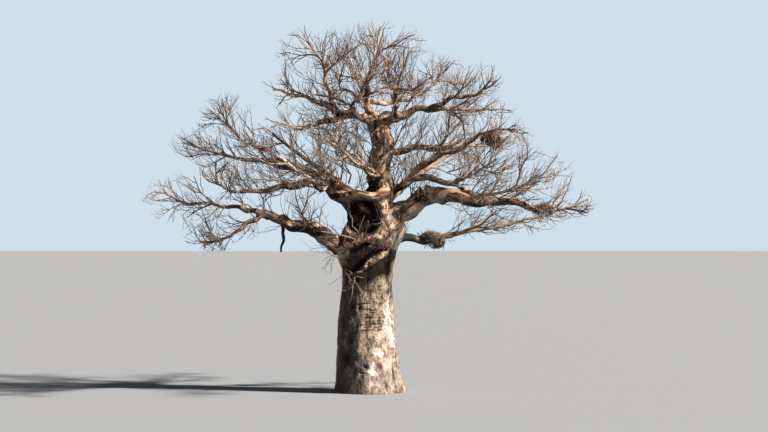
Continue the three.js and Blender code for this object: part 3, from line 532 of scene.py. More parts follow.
class Places:
    """Spots on what has grown where a new twig may start, and which way the bark runs there."""

    def __init__(self, room):
        """Room for so many places, and none yet."""
        self.count = 0
        self.spot, self.way = np.zeros((room, 3)), np.zeros((room, 3))
        self.path, self.share, self.least = np.zeros(room), np.zeros(room), np.zeros(room)
        self.twig = np.zeros(room, int)

    def add(self, spot, way, path, twig, share, least=0.5):
        """More places. "least" is how near the bark's way, as a cosine, a twig has to set off."""
        rows = slice(self.count, self.count + len(spot))
        self.spot[rows], self.way[rows], self.path[rows] = spot, way, path
        self.twig[rows], self.share[rows], self.least[rows] = twig, share, least
        self.count += len(spot)

    def add_along(self, row, number, shares):
        """Places at some shares of a grown twig."""
        shares = np.array(shares)
        self.add(*grown_line(row)(shares), row.path + row.length * shares, number, shares)

    def cheapest(self, point, heart, least_outward):
        """The place from which the point is near, straight ahead and away from the heart."""
        n = self.count
        out = unit(point - heart)
        to = point - self.spot[:n]
        far = np.linalg.norm(to, axis=1)
        ahead = (to * self.way[:n]).sum(1) / far
        outward = to @ out / far
        cost = far * (1.6 - 0.6 * ahead) * (1.5 - 0.5 * outward) + 0.25 * self.path[:n]
        cost[(ahead < self.least[:n]) | (outward < least_outward)] = np.inf
        best = int(np.argmin(cost))
        return (best, far[best], to[best]) if np.isfinite(cost[best]) else None


def grown_line(row):
    """Places and headings of one grown twig at any shares, before it sways."""
    base, way, length, curve = row[:4]

    def at(t):
        t = np.asarray(t, float)[:, None]
        return base + way * length * t + curve * t * t, unit(way * length + 2 * curve * t)

    return at


def stem_of(name):
    """The stem of a mass: from its bough's tip, on between the bough's way and the way to the far end that
    its table names, which it curves to."""
    place, _ = LIMBS[name]
    tip = place(1.0)
    span = np.array(MASSES[name][2], float) - tip
    far = np.linalg.norm(span)
    way = unit(unit(span) * 0.6 + heading(place, 1.0) * 0.4)
    return Grown(tip, way, far, span - way * far, -1, 0.0, 0.0)


def reach(places, point, heart, least_outward, lengths, droop):
    """A twig from the cheapest place to a point, or None where its length isn't within the two lengths.
    It sets off between the way of what bears it and the way to the point, less "droop" of the way up."""
    found = places.cheapest(point, heart, least_outward)
    if not found or not lengths[0] <= found[1] <= lengths[1]:
        return None
    best, far, to = found
    way = unit(places.way[best] * 0.35 + to * 0.75 / far - droop * UP)
    return Grown(places.spot[best].copy(), way, far, to - way * far, int(places.twig[best]),
                 places.share[best], places.path[best])


def loads_of(rows):
    """How many twigs each twig carries: itself and all that grow on it."""
    load = np.ones(len(rows))
    for k in range(len(rows) - 1, -1, -1):
        if rows[k].bearer >= 0:
            load[rows[k].bearer] += load[k]
    return load


def keeps_to_room(index, points):
    """Whether points lie near their own room and deeper in it than in any other."""
    depth = depth_in_rooms(points)
    own = depth[:, index].copy()
    depth[:, index] = np.inf
    return (own < 1.35).all() and (depth.min(1) > own + ROOM_MARGIN).all()


def grow_mass(index, obstacles):
    """The source's own rule: the stem of a mass, then a twig for each point that it can reach. Its
    thickness goes with the root of its load. Returns the twigs and their radii."""
    name = MASS_NAMES[index]
    stem = stem_of(name)
    span = np.array(MASSES[name][2], float) - stem.base
    heart = stem.base - 0.8 * span - 0.25 * stem.length * UP
    rows, places = [stem], Places(80)
    places.add_along(stem, 0, 0.12 + 0.88 * np.arange(7) / 6)
    starts, ends, radii = obstacles
    for k in range(SKIN_TWIGS + INNER_TWIGS):
        on_skin = k < SKIN_TWIGS
        point = scatter(index, k if on_skin else INNER_FIRST + k - SKIN_TWIGS, on_skin)
        row = reach(places, point, heart, least_outward=0.45, lengths=TWIG_LENGTHS, droop=0.12)
        if not row:
            continue
        along, _ = grown_line(row)((np.arange(8) + 1) / 8)
        if (distance_to_lines(along, starts, ends) < radii + CLEARANCE + row.length / 16).any():
            continue
        if keeps_to_room(index, along):
            rows.append(row)
            places.add_along(row, len(rows) - 1, [0.4, 0.7, 1.0])
    load = loads_of(rows)
    stem_radius = float(LIMBS[name][1](1.0))
    thick = []
    for k, row in enumerate(rows):
        most = thick[row.bearer] * (1 - TWIG_TAPER * row.share) if k else np.inf
        thick.append(max(THINNEST, min(stem_radius * math.sqrt(load[k] / load[0]), most)))
    return rows, thick


def grow_masses():
    """Every mass in turn by the source's rule, each clear of the limbs, the nests and the others."""
    lines = [pieces_of(place, radius, 10) for place, radius in LIMBS.values()]
    for middle, half in NESTS.values():
        side = np.array([half[0] * 0.4, 0, 0])
        lines.append((np.array([middle - side]), np.array([middle + side]), np.array([half[0] * 0.75])))
    solid = [np.concatenate(part) for part in zip(*lines)]
    stems = []
    for name in MASS_NAMES:
        spots, _ = grown_line(stem_of(name))(np.arange(4) / 3)
        stems.append((spots[:-1], spots[1:], np.full(3, float(LIMBS[name][1](1.0)))))
    masses, grown = [], []
    for index in range(len(MASS_NAMES)):
        others = stems[:index] + stems[index + 1:] + grown
        rows, thick = grow_mass(index, [np.concatenate(part) for part in zip(solid, *others)])
        spots = np.array([grown_line(row)([0.0, 0.5, 1.0])[0] for row in rows[1:]])
        start = np.concatenate([spots[:, 0], spots[:, 1]])
        end = np.concatenate([spots[:, 1], spots[:, 2]])
        grown.append((start, end, np.tile(thick[1:], 2)))
        masses.append((rows, thick))
    return masses, solid


def limb_shell():
    """Points round the outer part of every bough, more of them above it than below."""
    points = []
    for number, (name, (place, radius)) in enumerate(LIMBS.items()):
        if name in TWIGLESS:
            continue
        ids = np.arange(int(length_of(place) * LIMB_TWIGS)) + number * 400
        t = 0.25 + 0.75 * chance(ids, 31)
        out = place(t) - CROWN_HEART
        way = unit(unit(any_way(ids, 32)) + 0.55 * UP + 0.35 * unit(out * [1, 1, 0]))
        points.append(place(t) + way * (radius(t) + 0.35 + 1.7 * chance(ids, 35))[:, None])
    return np.concatenate(points)


def next_points(count, first, on_skin):
    """The next points of every room's scatter, room by room in turn, and by how full each is."""
    most = [int(count * FULLNESS.get(name, 1.0)) for name in MASS_NAMES]
    return [scatter(index, first + k, on_skin) for k in range(max(most)) for index in range(len(most))
            if k < most[index]]


def grow_more(masses, solid):
    """Finer twigs of the whole crown. They reach for the next points of each room's scatter and for
    points round the boughs, from any place on a bough or on a twig that has grown. A twig that starts on
    another one follows its sway."""
    rows, thick, places = [], [], Places(16000)
    for mass_rows, mass_thick in masses:
        first = len(rows)
        for k, row in enumerate(mass_rows):
            rows.append(row._replace(bearer=row.bearer + first if k else -1))
            places.add_along(row, first + k, [0.25, 0.5, 0.75, 1.0])
        thick += mass_thick
    for name, (place, _) in LIMBS.items():
        if name in TWIGLESS:
            continue
        first = 0.45 if name == "leader" else 0.2
        t = np.linspace(first, 1, max(3, int(length_of(place) / 0.22)))
        places.add(place(t), heading(place, t), 0.0, -1, t, -0.05)
    points = next_points(MORE_SKIN_TWIGS, SKIN_TWIGS, True)
    points += list(limb_shell())
    points += next_points(MORE_INNER_TWIGS, INNER_FIRST + INNER_TWIGS, False)
    starts, ends, radii = solid
    for point in points:
        row = reach(places, point, CROWN_HEART, least_outward=0.25, lengths=FINE_TWIG_LENGTHS, droop=0.26)
        if not row:
            continue
        spots, _ = grown_line(row)([0.75, 0.9, 1.0] if row.bearer < 0 else [0.25, 0.5, 0.75, 1.0])
        if (distance_to_lines(spots, starts, ends) < radii + 0.02).any() or in_openings(spots[-2:]).any():
            continue
        rows.append(row)
        places.add_along(row, len(rows) - 1, [0.3, 0.55, 0.8, 1.0])
    load = loads_of(rows)
    radius = np.zeros(len(rows))
    for k, row in enumerate(rows):
        most = radius[row.bearer] * (1 - TWIG_TAPER * row.share) * 0.9 if row.bearer >= 0 else 0.085
        least = thick[k] if k < len(thick) else FINEST
        radius[k] = max(least, min(0.019 * math.sqrt(load[k]), most))
    base, way, length, curve = (np.array([row[k] for row in rows]) for k in range(4))
    number = np.arange(len(rows), dtype=np.uint32)
    twigs = twig_set(base, way, length, curve, radius, number, wander=0.042)
    shift = np.zeros((len(rows), 3))
    for k, row in enumerate(rows):
        if row.bearer >= 0:
            shift[k] = shift[row.bearer] + twigs["sway"][row.bearer] * math.sin(3 * math.pi * row.share)
    twigs["base"] += shift
    return twigs


def listed_twigs(table, first_number):
    """Each twig of a table is the parabola through its three points."""
    root, middle, tip = (np.array([row[k] for row in table]) for k in range(3))
    way = 4 * middle - 3 * root - tip
    number = np.arange(len(table), dtype=np.uint32) + np.uint32(first_number)
    return twig_set(root, unit(way), np.linalg.norm(way, axis=1), 2 * root - 4 * middle + 2 * tip,
                    np.array([row[3] for row in table]), number, wander=0.1)


def bough_shoots():
    """Slim twigs straight from the bark of every bough, about one to each half metre: they leave it at
    any side, more of them upwards, lean along it and wander."""
    sets = []
    for number, (name, (place, thick)) in enumerate(LIMBS.items()):
        if name in (*TWIGLESS, "saddle"):
            continue
        count = int(length_of(place) / SHOOT_SPACING)
        ids = np.arange(count, dtype=np.uint32) + np.uint32(50000 + number * 400)
        first = 0.5 if name in ("leader", "left_mid", "right_root") else 0.25
        t = first + (1 - first) * (np.arange(count) + chance(ids, 1)) / count
        along = heading(place, t)
        outward = square_to(any_way(ids, 2) + 0.45 * UP, along)
        way = unit(outward + (0.3 + 1.6 * chance(ids, 5))[:, None] * along)
        length = 0.4 + 1.3 * chance(ids, 6) ** 1.5
        base = place(t) + outward * (0.8 * thick(t))[:, None]
        curve = (any_way(ids, 7) * 0.9 + 0.2 * UP) * length[:, None]
        radius = 0.016 + 0.022 * chance(ids, 10)
        sets.append(twig_set(base, way, length, curve, radius, ids, wander=0.05))
    return join(*sets)


def side_twigs(stems, solid, spacing, cone, ratio, longest, thinnest, lift, salt, most=12):
    """Twigs that leave their stems by turns to either side, every "spacing" of its length, at the
    angle "cone", and curve up by "lift" of their length. None touches a limb or leaves the crown."""
    count = np.clip((stems["length"] / spacing).astype(int), 1, most)
    row = np.repeat(np.arange(len(count)), count)
    turn_number = np.arange(len(row)) - (np.cumsum(count) - count)[row]
    stem = choose(stems, row)
    number = stem["number"] * np.uint32(977) + turn_number.astype(np.uint32) * np.uint32(31) + np.uint32(salt)
    t = 0.1 + 0.9 * np.clip((turn_number + 0.45 + 0.5 * chance(number, 1)) / count[row], 0, 1)
    base, along = twig_place(stem, t)
    out = unit(base - CROWN_HEART) + 0.25 * UP
    side = unit(np.cross(along, out))
    flat = unit(np.cross(side, along))
    turn = math.pi * (turn_number % 2) + (chance(number, 2) - 0.5) * 2.6
    open_angle = np.radians(cone) * (0.7 + 0.6 * chance(number, 3)) * (1.15 - 0.4 * t)
    around = side * np.cos(turn)[:, None] + flat * np.sin(turn)[:, None]
    way = along * np.cos(open_angle)[:, None] + around * np.sin(open_angle)[:, None]
    way = unit(way + 0.12 * out)
    length = np.minimum(stem["length"] * ratio * (1.25 - 0.7 * t), longest) * (0.6 + 0.7 * chance(number, 4))
    curve = (any_way(number, 5) * 0.5 + lift * UP) * length[:, None]
    radius = np.clip(stem["radius"] * (1 - TWIG_TAPER * t) * 0.75, thinnest, 0.03)
    twigs = twig_set(base, way, length, curve, radius, number, wander=0.05)
    return choose(twigs, clear_of_all(twigs, solid))


def clear_of_all(twigs, solid):
    """Which twigs end inside the crown's reach, out of its openings and clear of every limb."""
    tip = tips_of(twigs)
    low, high = (np.array(corner) for corner in CAD_BOX)
    keep = ((tip > low * 1.02) & (tip < high * 1.02)).all(1) & ~in_openings(tip)
    inside = depth_in_rooms(tip).min(1) < 1.12
    for first in range(0, len(tip), 4000):
        part = slice(first, first + 4000)
        gap = (distance_to_lines(tip[part], solid[0], solid[1]) - solid[2]).min(1)
        keep[part] &= (gap > 0.02) & (inside[part] | (gap < 1.4))
    return keep


# Meshes

def make_object(name, points, triangles, material, **values):
    """An object from an array of points, an array of corner numbers, three to a triangle, and
    further values held at the points, which its material reads."""
    mesh = bpy.data.meshes.new(name)
    mesh.vertices.add(len(points))
    mesh.vertices.foreach_set("co", np.ascontiguousarray(points, np.float32).ravel())
    mesh.loops.add(triangles.size)
    mesh.loops.foreach_set("vertex_index", np.ascontiguousarray(triangles, np.int32).ravel())
    mesh.polygons.add(len(triangles))
    mesh.polygons.foreach_set("loop_start", np.arange(0, triangles.size, 3, dtype=np.int32))
    mesh.polygons.foreach_set("use_smooth", np.ones(len(triangles), bool))
    mesh.update(calc_edges=True)
    for key, value in values.items():
        kind, field = ("FLOAT", "value") if value.ndim == 1 else ("FLOAT_VECTOR", "vector")
        layer = mesh.attributes.new(key, kind, "POINT")
        layer.data.foreach_set(field, np.ascontiguousarray(value, np.float32).ravel())
    mesh.materials.append(material)
    made = bpy.data.objects.new(name, mesh)
    bpy.context.scene.collection.objects.link(made)
    return made


def wall_triangles(rings, sides):
    """Two triangles for each field between a ring of points and the next."""
    ring, side = np.meshgrid(np.arange(rings - 1), np.arange(sides), indexing="ij")
    a = (ring * sides + side).ravel()
    b = (ring * sides + (side + 1) % sides).ravel()
    c, d = b + sides, a + sides
    return np.concatenate([np.stack([a, b, c], 1), np.stack([a, c, d], 1)])


def skin_triangles(rings, sides):
    """Triangles of a closed skin of rings, with one point more at each end to close it."""
    side = np.arange(sides)
    foot = np.stack([np.full(sides, rings * sides), (side + 1) % sides, side], 1)
    last = (rings - 1) * sides
    top = np.stack([np.full(sides, rings * sides + 1), last + side, last + (side + 1) % sides], 1)
    return np.concatenate([wall_triangles(rings, sides), foot, top])


def tube_triangles(rings, sides):
    """Triangles of a closed tube of rings, with one point more at its tip and a fan across its foot."""
    side = np.arange(sides)
    last = (rings - 1) * sides
    top = np.stack([last + side, last + (side + 1) % sides, np.full(sides, rings * sides)], 1)
    foot = np.stack([np.zeros(sides - 2, int), side[2:], side[1:-1]], 1)
    return np.concatenate([wall_triangles(rings, sides), top, foot])


def ring_grid(rings, sides):
    """Share of the length and angle of every point of a skin, ring by ring."""
    turn = np.arange(sides) * 2 * math.pi / sides
    share, angle = np.meshgrid(np.linspace(0, 1, rings), turn, indexing="ij")
    return share.ravel(), angle.ravel()


def with_ends(grain, ends, **shades):
    """What the bark reads at each point of a skin, and at the two points that close it: the place in the
    grain and the shades, which are 0 at the two."""
    values = {name: np.append(np.clip(shade, 0, 1), [0, 0]) for name, shade in shades.items()}
    return {**values, "grain": np.concatenate([grain, ends])}


def tubes(twigs, rings, sides, sink=0.03, tip=0.45):
    """Every twig as a slim tube with a blunt tip, its root sunk into what bears it. A ring's point is
    place(s) + radius * (1 - (1 - tip) s) * (cos, sin) square to the twig, in the plane of its curve."""
    count = len(twigs["length"])
    plane = unit(np.cross(twigs["way"], twigs["curve"] + 1e-4 * np.array([0.3, 0.8, 0.5])))
    turn = np.arange(sides) * 2 * math.pi / sides
    points = []
    for s in np.linspace(0, 0.96, rings):
        spot, along = twig_place(twigs, np.full(count, s))
        if s == 0:
            spot = spot - along * sink
        a = square_to(plane, along)
        b = np.cross(along, a)
        circle = a[:, None] * np.cos(turn)[None, :, None] + b[:, None] * np.sin(turn)[None, :, None]
        radius = twigs["radius"] * (1 - (1 - tip) * s)
        points.append(spot[:, None] + circle * radius[:, None, None])
    points = np.stack(points, 1).reshape(count, rings * sides, 3)
    points = np.concatenate([points, tips_of(twigs)[:, None]], 1)
    triangles = tube_triangles(rings, sides)[None] + (np.arange(count) * points.shape[1])[:, None, None]
    return points.reshape(-1, 3), triangles.reshape(-1, 3)


# Bark relief

def value_noise(points, seed):
    """Smooth noise from -1 to 1: chances at whole-number corners, eased between them."""
    cell = np.floor(points).astype(np.int64)
    part = eased(points - cell)
    total = np.zeros(len(points))
    for corner in range(8):
        offset = np.array([corner & 1, corner >> 1 & 1, corner >> 2 & 1])
        where = cell + offset
        number = (where[:, 0] * 73856093) ^ (where[:, 1] * 19349663) ^ (where[:, 2] * 83492791)
        weight = np.where(offset, part, 1 - part).prod(1)
        total += weight * chance(number & 0xFFFFFFFF, seed)
    return total * 2 - 1


def ridged(points, seed, octaves=3):
    """Sharp-crested noise: 1 - |noise|, halved in size and weight at each octave."""
    total = np.zeros(len(points))
    for k in range(octaves):
        total += (1 - np.abs(value_noise(points * 2**k, seed + k))) / 2**k
    return total / (2 - 2 ** (1 - octaves)) * 2 - 1


def around(angle, where, width):
    """1 at an angle round the limb, falling off over width."""
    return np.exp(-((turned_from(angle, where) / width) ** 2))


# Each limb as straight lengths, and its radius at the tip
LIMB_LINES = {name: pieces_of(place, radius, 16) for name, (place, radius) in LIMBS.items()}
LIMB_ENDS = {name: float(radius(1.0)) for name, (place, radius) in LIMBS.items()}


def distance_to_limb(points, name):
    """How far outside a limb's skin each point is, and how thick the limb is there."""
    start, end, radius = LIMB_LINES[name]
    line = end - start
    to = points[:, None] - start
    share = np.clip((to * line).sum(-1) / (line * line).sum(-1), 0, 1)
    next_radius = np.append(radius[1:], LIMB_ENDS[name])
    here = radius + (next_radius - radius) * share
    gap = np.linalg.norm(to - line * share[..., None], axis=-1) - here
    best = gap.argmin(1)
    row = np.arange(len(points))
    return gap[row, best], here[row, best]


def fillets(points, outward, own_radius, name, steps=5):
    """Swells a limb's skin where it meets others, onto the level where the smooth least of the two
    distances is nought: min(a, b) - (k - |a - b|)^2 / 4k. Returns how far each point moves out."""
    rise = np.zeros(len(points))
    low, high = points.min(0) - 0.6, points.max(0) + 0.6
    for other, (start, end, radius) in LIMB_LINES.items():
        widest = radius.max()
        if other == name or (np.maximum(start, end).max(0) + widest < low).any():
            continue
        if (np.minimum(start, end).min(0) - widest > high).any():
            continue
        gap, thick = distance_to_limb(points, other)
        share = 0.3 if "saddle" in (name, other) else 0.7
        blend = np.clip(share * np.minimum(own_radius, thick), 0.04, 0.5)
        near = (gap < blend) & (gap > -1.2 * blend)
        if not near.any():
            continue
        k = blend[near]
        own = rise[near].copy()
        for _ in range(steps):
            gap, _ = distance_to_limb(points[near] + outward[near] * own[:, None], other)
            mixed = np.minimum(own, gap) - np.maximum(k - np.abs(own - gap), 0) ** 2 / (4 * k)
            own = np.clip(own - 0.8 * mixed, 0, 0.5 * k)
        rise[near] = np.maximum(rise[near], own)
    return rise


def ridge(z, height, size):
    """1 on a crest at a height, falling off over size."""
    return np.exp(-(((z - height) / size) ** 2))


def smooth_line(knots, count=90):
    """A smooth line through knots: a cubic between each two, which leaves and meets a knot along the
    chord of the knots beside it."""
    knots = np.array(knots, float)
    slope = np.gradient(knots, axis=0)
    t = np.linspace(0, len(knots) - 1, count)
    k = np.minimum(t.astype(int), len(knots) - 2)
    s = (t - k)[:, None]
    ends = (2 * s**3 - 3 * s**2 + 1) * knots[k] + (3 * s**2 - 2 * s**3) * knots[k + 1]
    return ends + (s**3 - 2 * s**2 + s) * slope[k] + (s**3 - s**2) * slope[k + 1]


def beside(spots, line):
    """How far each spot of the unrolled skin is from a line on it, on which side it is (1 above the
    line, -1 below) and how fully the line counts there, as it fades out towards its ends."""
    run = np.diff(line, axis=0)
    to = spots[:, None] - line[:-1]
    share = np.clip((to * run).sum(-1) / (run * run).sum(-1), 0, 1)
    gap = np.linalg.norm(to - run * share[..., None], axis=-1)
    best = gap.argmin(1)
    row = np.arange(len(spots))
    side = np.sign(run[best, 0] * to[row, best, 1] - run[best, 1] * to[row, best, 0])
    along = (best + share[row, best]) / len(run)
    return gap[row, best], side, np.clip(along / 0.12, 0, 1) * np.clip((1 - along) / 0.12, 0, 1)


def folds_of_skin(angle, z, wavy):
    """Rise, painted shade, paleness and painted light of the folds under the fork. Across the lip and the
    brow the rise is a rounded ridge, painted palest as light on the lip's left leg; inside them the skin is
    sunk, deepest close under the lip and along the brow's upper side, and it is painted dark as shade inside
    and below the brow. The painted light marks the lip's crest."""
    rise, dark, pale, crest_light = (np.zeros_like(z) for _ in range(4))
    off = turned_from(angle, FOLD_MIDDLE)
    near = np.flatnonzero((np.abs(off) < 1.75) & (np.abs(z - 6.7) < 1.9))
    off, height = off[near], wavy[near]
    spots = np.stack([off * SKIN_RADIUS, height], 1)
    scale = [SKIN_RADIUS, 1.0]
    lip_gap, lip_side, lip_share = beside(spots, smooth_line(np.array(LIP) * scale))
    brow_gap, brow_side, brow_share = beside(spots, smooth_line(np.array(BROW) * scale))
    inside = np.clip((-lip_side * lip_gap - 0.1) / 0.05, 0, 1)
    inside *= np.clip((brow_side * brow_gap - 0.09) / 0.06, 0, 1)
    inside *= np.clip((height - 5.05) / 0.5, 0, 1) * np.clip((off + 1.4) / 0.3, 0, 1)
    band = ridge(lip_gap, 0.24, 0.1) * np.clip((off + 0.5) / 0.4, 0.5, 1)
    furrow = ridge(brow_gap, 0.31, 0.14)
    low = np.clip((6.3 - height) / 0.4, 0, 1)
    slit = ridge(off, 0.6, 0.2) * ridge(height, 7.3, 0.05)
    lip_crest, brow_crest = lip_share * ridge(lip_gap, 0, 0.14), brow_share * ridge(brow_gap, 0, 0.13)
    under = (brow_side < 0) * brow_share * np.clip((brow_gap - 0.1) / 0.07, 0, 1)
    under *= np.clip((1.0 - brow_gap) / 0.4, 0, 1)
    fibres = value_noise(np.stack([off * 14, height * 2.2, off * 0], 1), 53)
    rings = value_noise(np.stack([off * 11, height * 11, off * 0], 1), 54)
    rise[near] = (0.34 + 0.05 * fibres + 0.05 * rings) * lip_crest + (0.32 + 0.06 * rings) * brow_crest
    sink = 0.2 + 0.28 * band + 0.28 * furrow + 0.1 * low - 0.18 * slit - 0.04 * fibres
    rise[near] -= inside * sink + 0.12 * under
    # Painted shade inside the mouth and in the shadow below the brow, and dark specks on the crests
    shade = 0.4 + 0.9 * band + 0.75 * furrow + 0.4 * low - 0.9 * slit - 0.4 * fibres
    dark[near] = inside * np.clip(shade, 0, 1) + under * np.clip(1.05 - 0.3 * fibres, 0, 1)
    dark[near] += 0.3 * np.clip(-rings - 0.2, 0, 1) * (lip_crest + brow_crest)
    # Painted light: the lip's left leg painted pale, and the lip's crest marked as lit
    pale[near] = 0.8 * lip_crest**2 * np.clip((-0.5 - off) / 0.2, 0, 1)
    crest_light[near] = np.clip(1.6 * lip_crest, 0, 1)
    return rise, dark, pale, crest_light


def wrinkles_of_skin(angle, z, spot):
    """Depth of the cross wrinkles, from 0 to 1: the deep ones of the front by their table, the fine ones
    between them and those of the other sides as waves in height that noise bends and thins out."""
    bent = z + 0.09 * value_noise(spot * [1.7, 1.7, 1.2], 21) + 0.03 * value_noise(spot * 6, 22)
    broken = np.clip(0.75 + 1.4 * value_noise(spot * [3.1, 3.1, 5.0], 24), 0, 1)
    depth = np.zeros_like(z)
    for height, first, last, deep in WRINKLES:
        middle, half = (first + last) / 2, (last - first) / 2
        sag = 0.05 * np.cos(angle - middle)
        tilt = 0.12 * (chance(int(height * 100), 25)[0] - 0.5) * (angle - middle) / half
        fade = np.clip((half - np.abs(angle - middle)) / 0.25, 0, 1)
        depth += deep * broken * ridge(bent, height + 0.04 - sag + tilt, 0.03) * fade
    behind = np.clip(np.abs(turned_from(angle, -1.5)) - 1.0, 0, 1)
    patchy = np.clip(0.5 + value_noise(spot * [1.8, 1.8, 1.1], 23), 0, 1)
    window = behind * np.exp(-(((z - 3.6) / 2.4) ** 2)) * patchy
    depth += (0.5 + 0.5 * np.cos(2 * math.pi * (bent + 0.1 * bent * bent) / 0.45)) ** 6 * window
    in_front = around(angle, -1.2, 0.8) * ridge(z, 4.1, 1.3)
    leaning = spot @ TURNED
    sagging = bent - 0.14 * np.cos(angle + 1.1) + 0.06 * value_noise(leaning * 2.1, 26)
    fine = (0.5 + 0.5 * np.cos(2 * math.pi * (sagging + 0.02 * sagging * sagging) / 0.19)) ** 5
    torn = np.clip(0.4 + 1.3 * value_noise(leaning * [3.1, 1.7, 4.3], 27), 0, 1)
    return np.clip(depth + 0.62 * fine * torn * in_front, 0, 1)


def shades_of_trunk(angle, z, spot, crest, crest_light):
    """How much painted shade, partly dark bark, and how much paleness the trunk's skin takes, from 0 to 1.
    Pale patches have torn rims, and the lip's crest adds painted light. The painted shade lies to the left of
    a line that its table gives by height, in blotches, not on the lip's crest, and the skin is a little
    darker low down."""
    pale = np.zeros_like(z)
    wear_and_painted_light = value_noise(spot * [2.1, 2.1, 1.3], 61) + 0.5 * value_noise(spot * [5, 5, 3], 62)
    leaning = spot @ TURNED
    torn = value_noise(leaning * [7, 9, 6], 65) + 0.6 * value_noise(leaning * [17, 15, 13], 66)
    for where, height, wide, tall, strength in PALE_PATCHES:
        patch = around(angle, where, wide) * ridge(z, height, tall)
        pale = np.maximum(pale, strength * np.clip(2.6 * (patch - 0.5 + 0.25 * wear_and_painted_light + 0.4 * torn), 0, 1))
    edge = np.interp(z, PAINTED_SHADE_HEIGHT, PAINTED_SHADE_EDGE) + 0.1 * wear_and_painted_light
    weathered = np.clip((edge - angle) / 0.06, 0, 1) * np.clip((angle + 3.0) / 0.3, 0, 1)
    blotches = value_noise(spot * [4.2, 4.2, 1.1], 63) + 0.6 * value_noise(leaning * 5, 64)
    weathered *= np.clip(1.0 + 0.7 * blotches, 0.25, 1) * np.clip((8.2 - z) / 1.5, 0, 1) * (1 - crest_light)
    return np.maximum(weathered, 0.2 * np.clip((2.9 - z) / 1.2, 0, 1)), np.clip(pale + crest, 0, 1)


def trunk_relief(angle, z):
    """Radius of the trunk's skin: profile, foot lobes, ribs, folds under the fork, hollows, knobs, cross
    wrinkles and bark. Beside it, from 0 to 1: the painted shade in its hollows, creases and folds; the
    painted shade of its side away from the light, partly dark bark; its paleness from wear and painted light;
    and how ruddy it is, which on the lip's crest is painted light."""
    lobe = np.cos(FOOT_LOBES * angle + 0.6) + 0.6 * np.cos((FOOT_LOBES + 3) * angle + 2)
    radius = np.interp(z, PROFILE_HEIGHT, PROFILE_RADIUS) + 0.09 * np.exp(-z / 0.55) * (1.2 + lobe)
    radius += 0.025 * np.cos(4 * angle + 0.5 * z) * np.minimum(1, (TRUNK_TOP[2] - z) / 2)
    spot = np.stack([np.cos(angle) * 1.4, np.sin(angle) * 1.4, z], 1)
    wavy = z + 0.06 * value_noise(spot * 2.3, 51) + 0.03 * value_noise(spot * 6.1, 52)
    rise, hollow, crest, crest_light = folds_of_skin(angle, z, wavy)
    radius += rise

    flow = value_noise(spot * [2.4, 2.4, 0.9], 11)
    folds = ridged(spot * [3.1, 3.1, 0.9] + 7, 12)
    plates = ridged(spot * [5, 5, 3.4], 13, 3)
    radius += (0.05 * flow + 0.045 * folds) * np.clip((8.9 - z) / 1.0, 0, 1)
    radius += 0.045 * plates * np.clip((z - 5.4) / 1.2, 0.15, 1)
    # Painted shade in the troughs of the folds and plates, and below in the hollows and wrinkles
    hollow += 0.3 * np.clip(-folds, 0, 1)
    hollow += 0.5 * np.clip(-plates - 0.25, 0, 1) * np.clip((z - 5.4) / 1.2, 0, 1)
    for where, height, wide, tall, depth, dark in HOLLOWS:
        pit = around(angle, where, wide) * ridge(wavy, height, tall)
        radius -= depth * pit
        hollow += pit * dark
    wrinkle = wrinkles_of_skin(angle, z, spot)
    radius -= 0.045 * wrinkle
    hollow += 0.75 * wrinkle
    radius += 0.014 * ridged(spot * [9, 9, 5], 31, 4)
    weathered, pale = shades_of_trunk(angle, z, spot, crest, crest_light)
    # The lip's crest is kept clear of painted shade and made ruddy as painted light
    return radius, np.clip(hollow, 0, 1) * (1 - 0.7 * crest_light), weathered, pale, 0.85 * crest_light


def recess(points, outward):
    """Sinks what faces the front into the recess: a depth times a smooth step at its edge, less a
    slanting knob. Returns the points moved, and the painted shade that blackens the recess."""
    across, up = points[:, 0] - RECESS[0], points[:, 2] - RECESS[1]
    far = np.hypot(across / RECESS_HALF[0], up / RECESS_HALF[1]) + 0.12 * value_noise(points * 3, 71)
    step = eased(np.clip((1.12 - far) / 0.3, 0, 1)) * (points[:, 1] < -0.1)
    weight = step * np.clip(-outward[:, 1] * 2, 0, 1)
    aside, above = points[:, 0] - KNOB[0], points[:, 2] - KNOB[1] + 0.6 * (points[:, 0] - KNOB[0])
    knob = np.exp(-((aside / KNOB_HALF[0]) ** 2) - (above / KNOB_HALF[1]) ** 2)
    sunk = weight * RECESS_DEPTH * (1 - 0.95 * knob)
    broken = value_noise(points * [4, 4, 2.5], 72) + 0.6 * value_noise(points * [9, 9, 6], 73)
    # Painted shade: the recess is painted black where it faces the front, broken by the knob and noise
    black = np.clip((1.25 - far) / 0.3, 0, 1) * (points[:, 1] < 0) * np.clip(0.2 - outward[:, 1] * 4, 0, 1)
    black *= np.clip(0.7 - 2 * knob - 0.5 * broken, 0, 1)
    return points + sunk[:, None] * np.array([0, 1.0, 0]), black


def tinted(eggs, points, mottle):
    """How far the skin takes a tint: the most that any egg's bell gives, broken by mottling."""
    total = np.zeros(len(points))
    for middle, half, most in eggs:
        far = (((points - middle) / np.array(half)) ** 2).sum(1)
        total = np.maximum(total, np.clip(1.6 * np.exp(-far) * (0.4 + 1.1 * mottle), 0, most))
    return total


def dark_patches_and_painted_shade(points, mottle):
    """How far painted shade darkens the skin, nearly to black: the sum of the eggs' bells, broken at their
    rims by mottling.
    """
    total = np.zeros(len(points))
    for middle, half in PAINTED_SHADE_SPOTS:
        total += np.exp(-(((points - middle) / np.array(half)) ** 2).sum(1))
    ragged = value_noise(points * [8, 8, 8], 74) + 0.6 * value_noise(points * [19, 19, 19], 75)
    return np.clip(2.4 * (total - 0.3 + 0.25 * mottle + 0.28 * ragged), 0, 0.95)


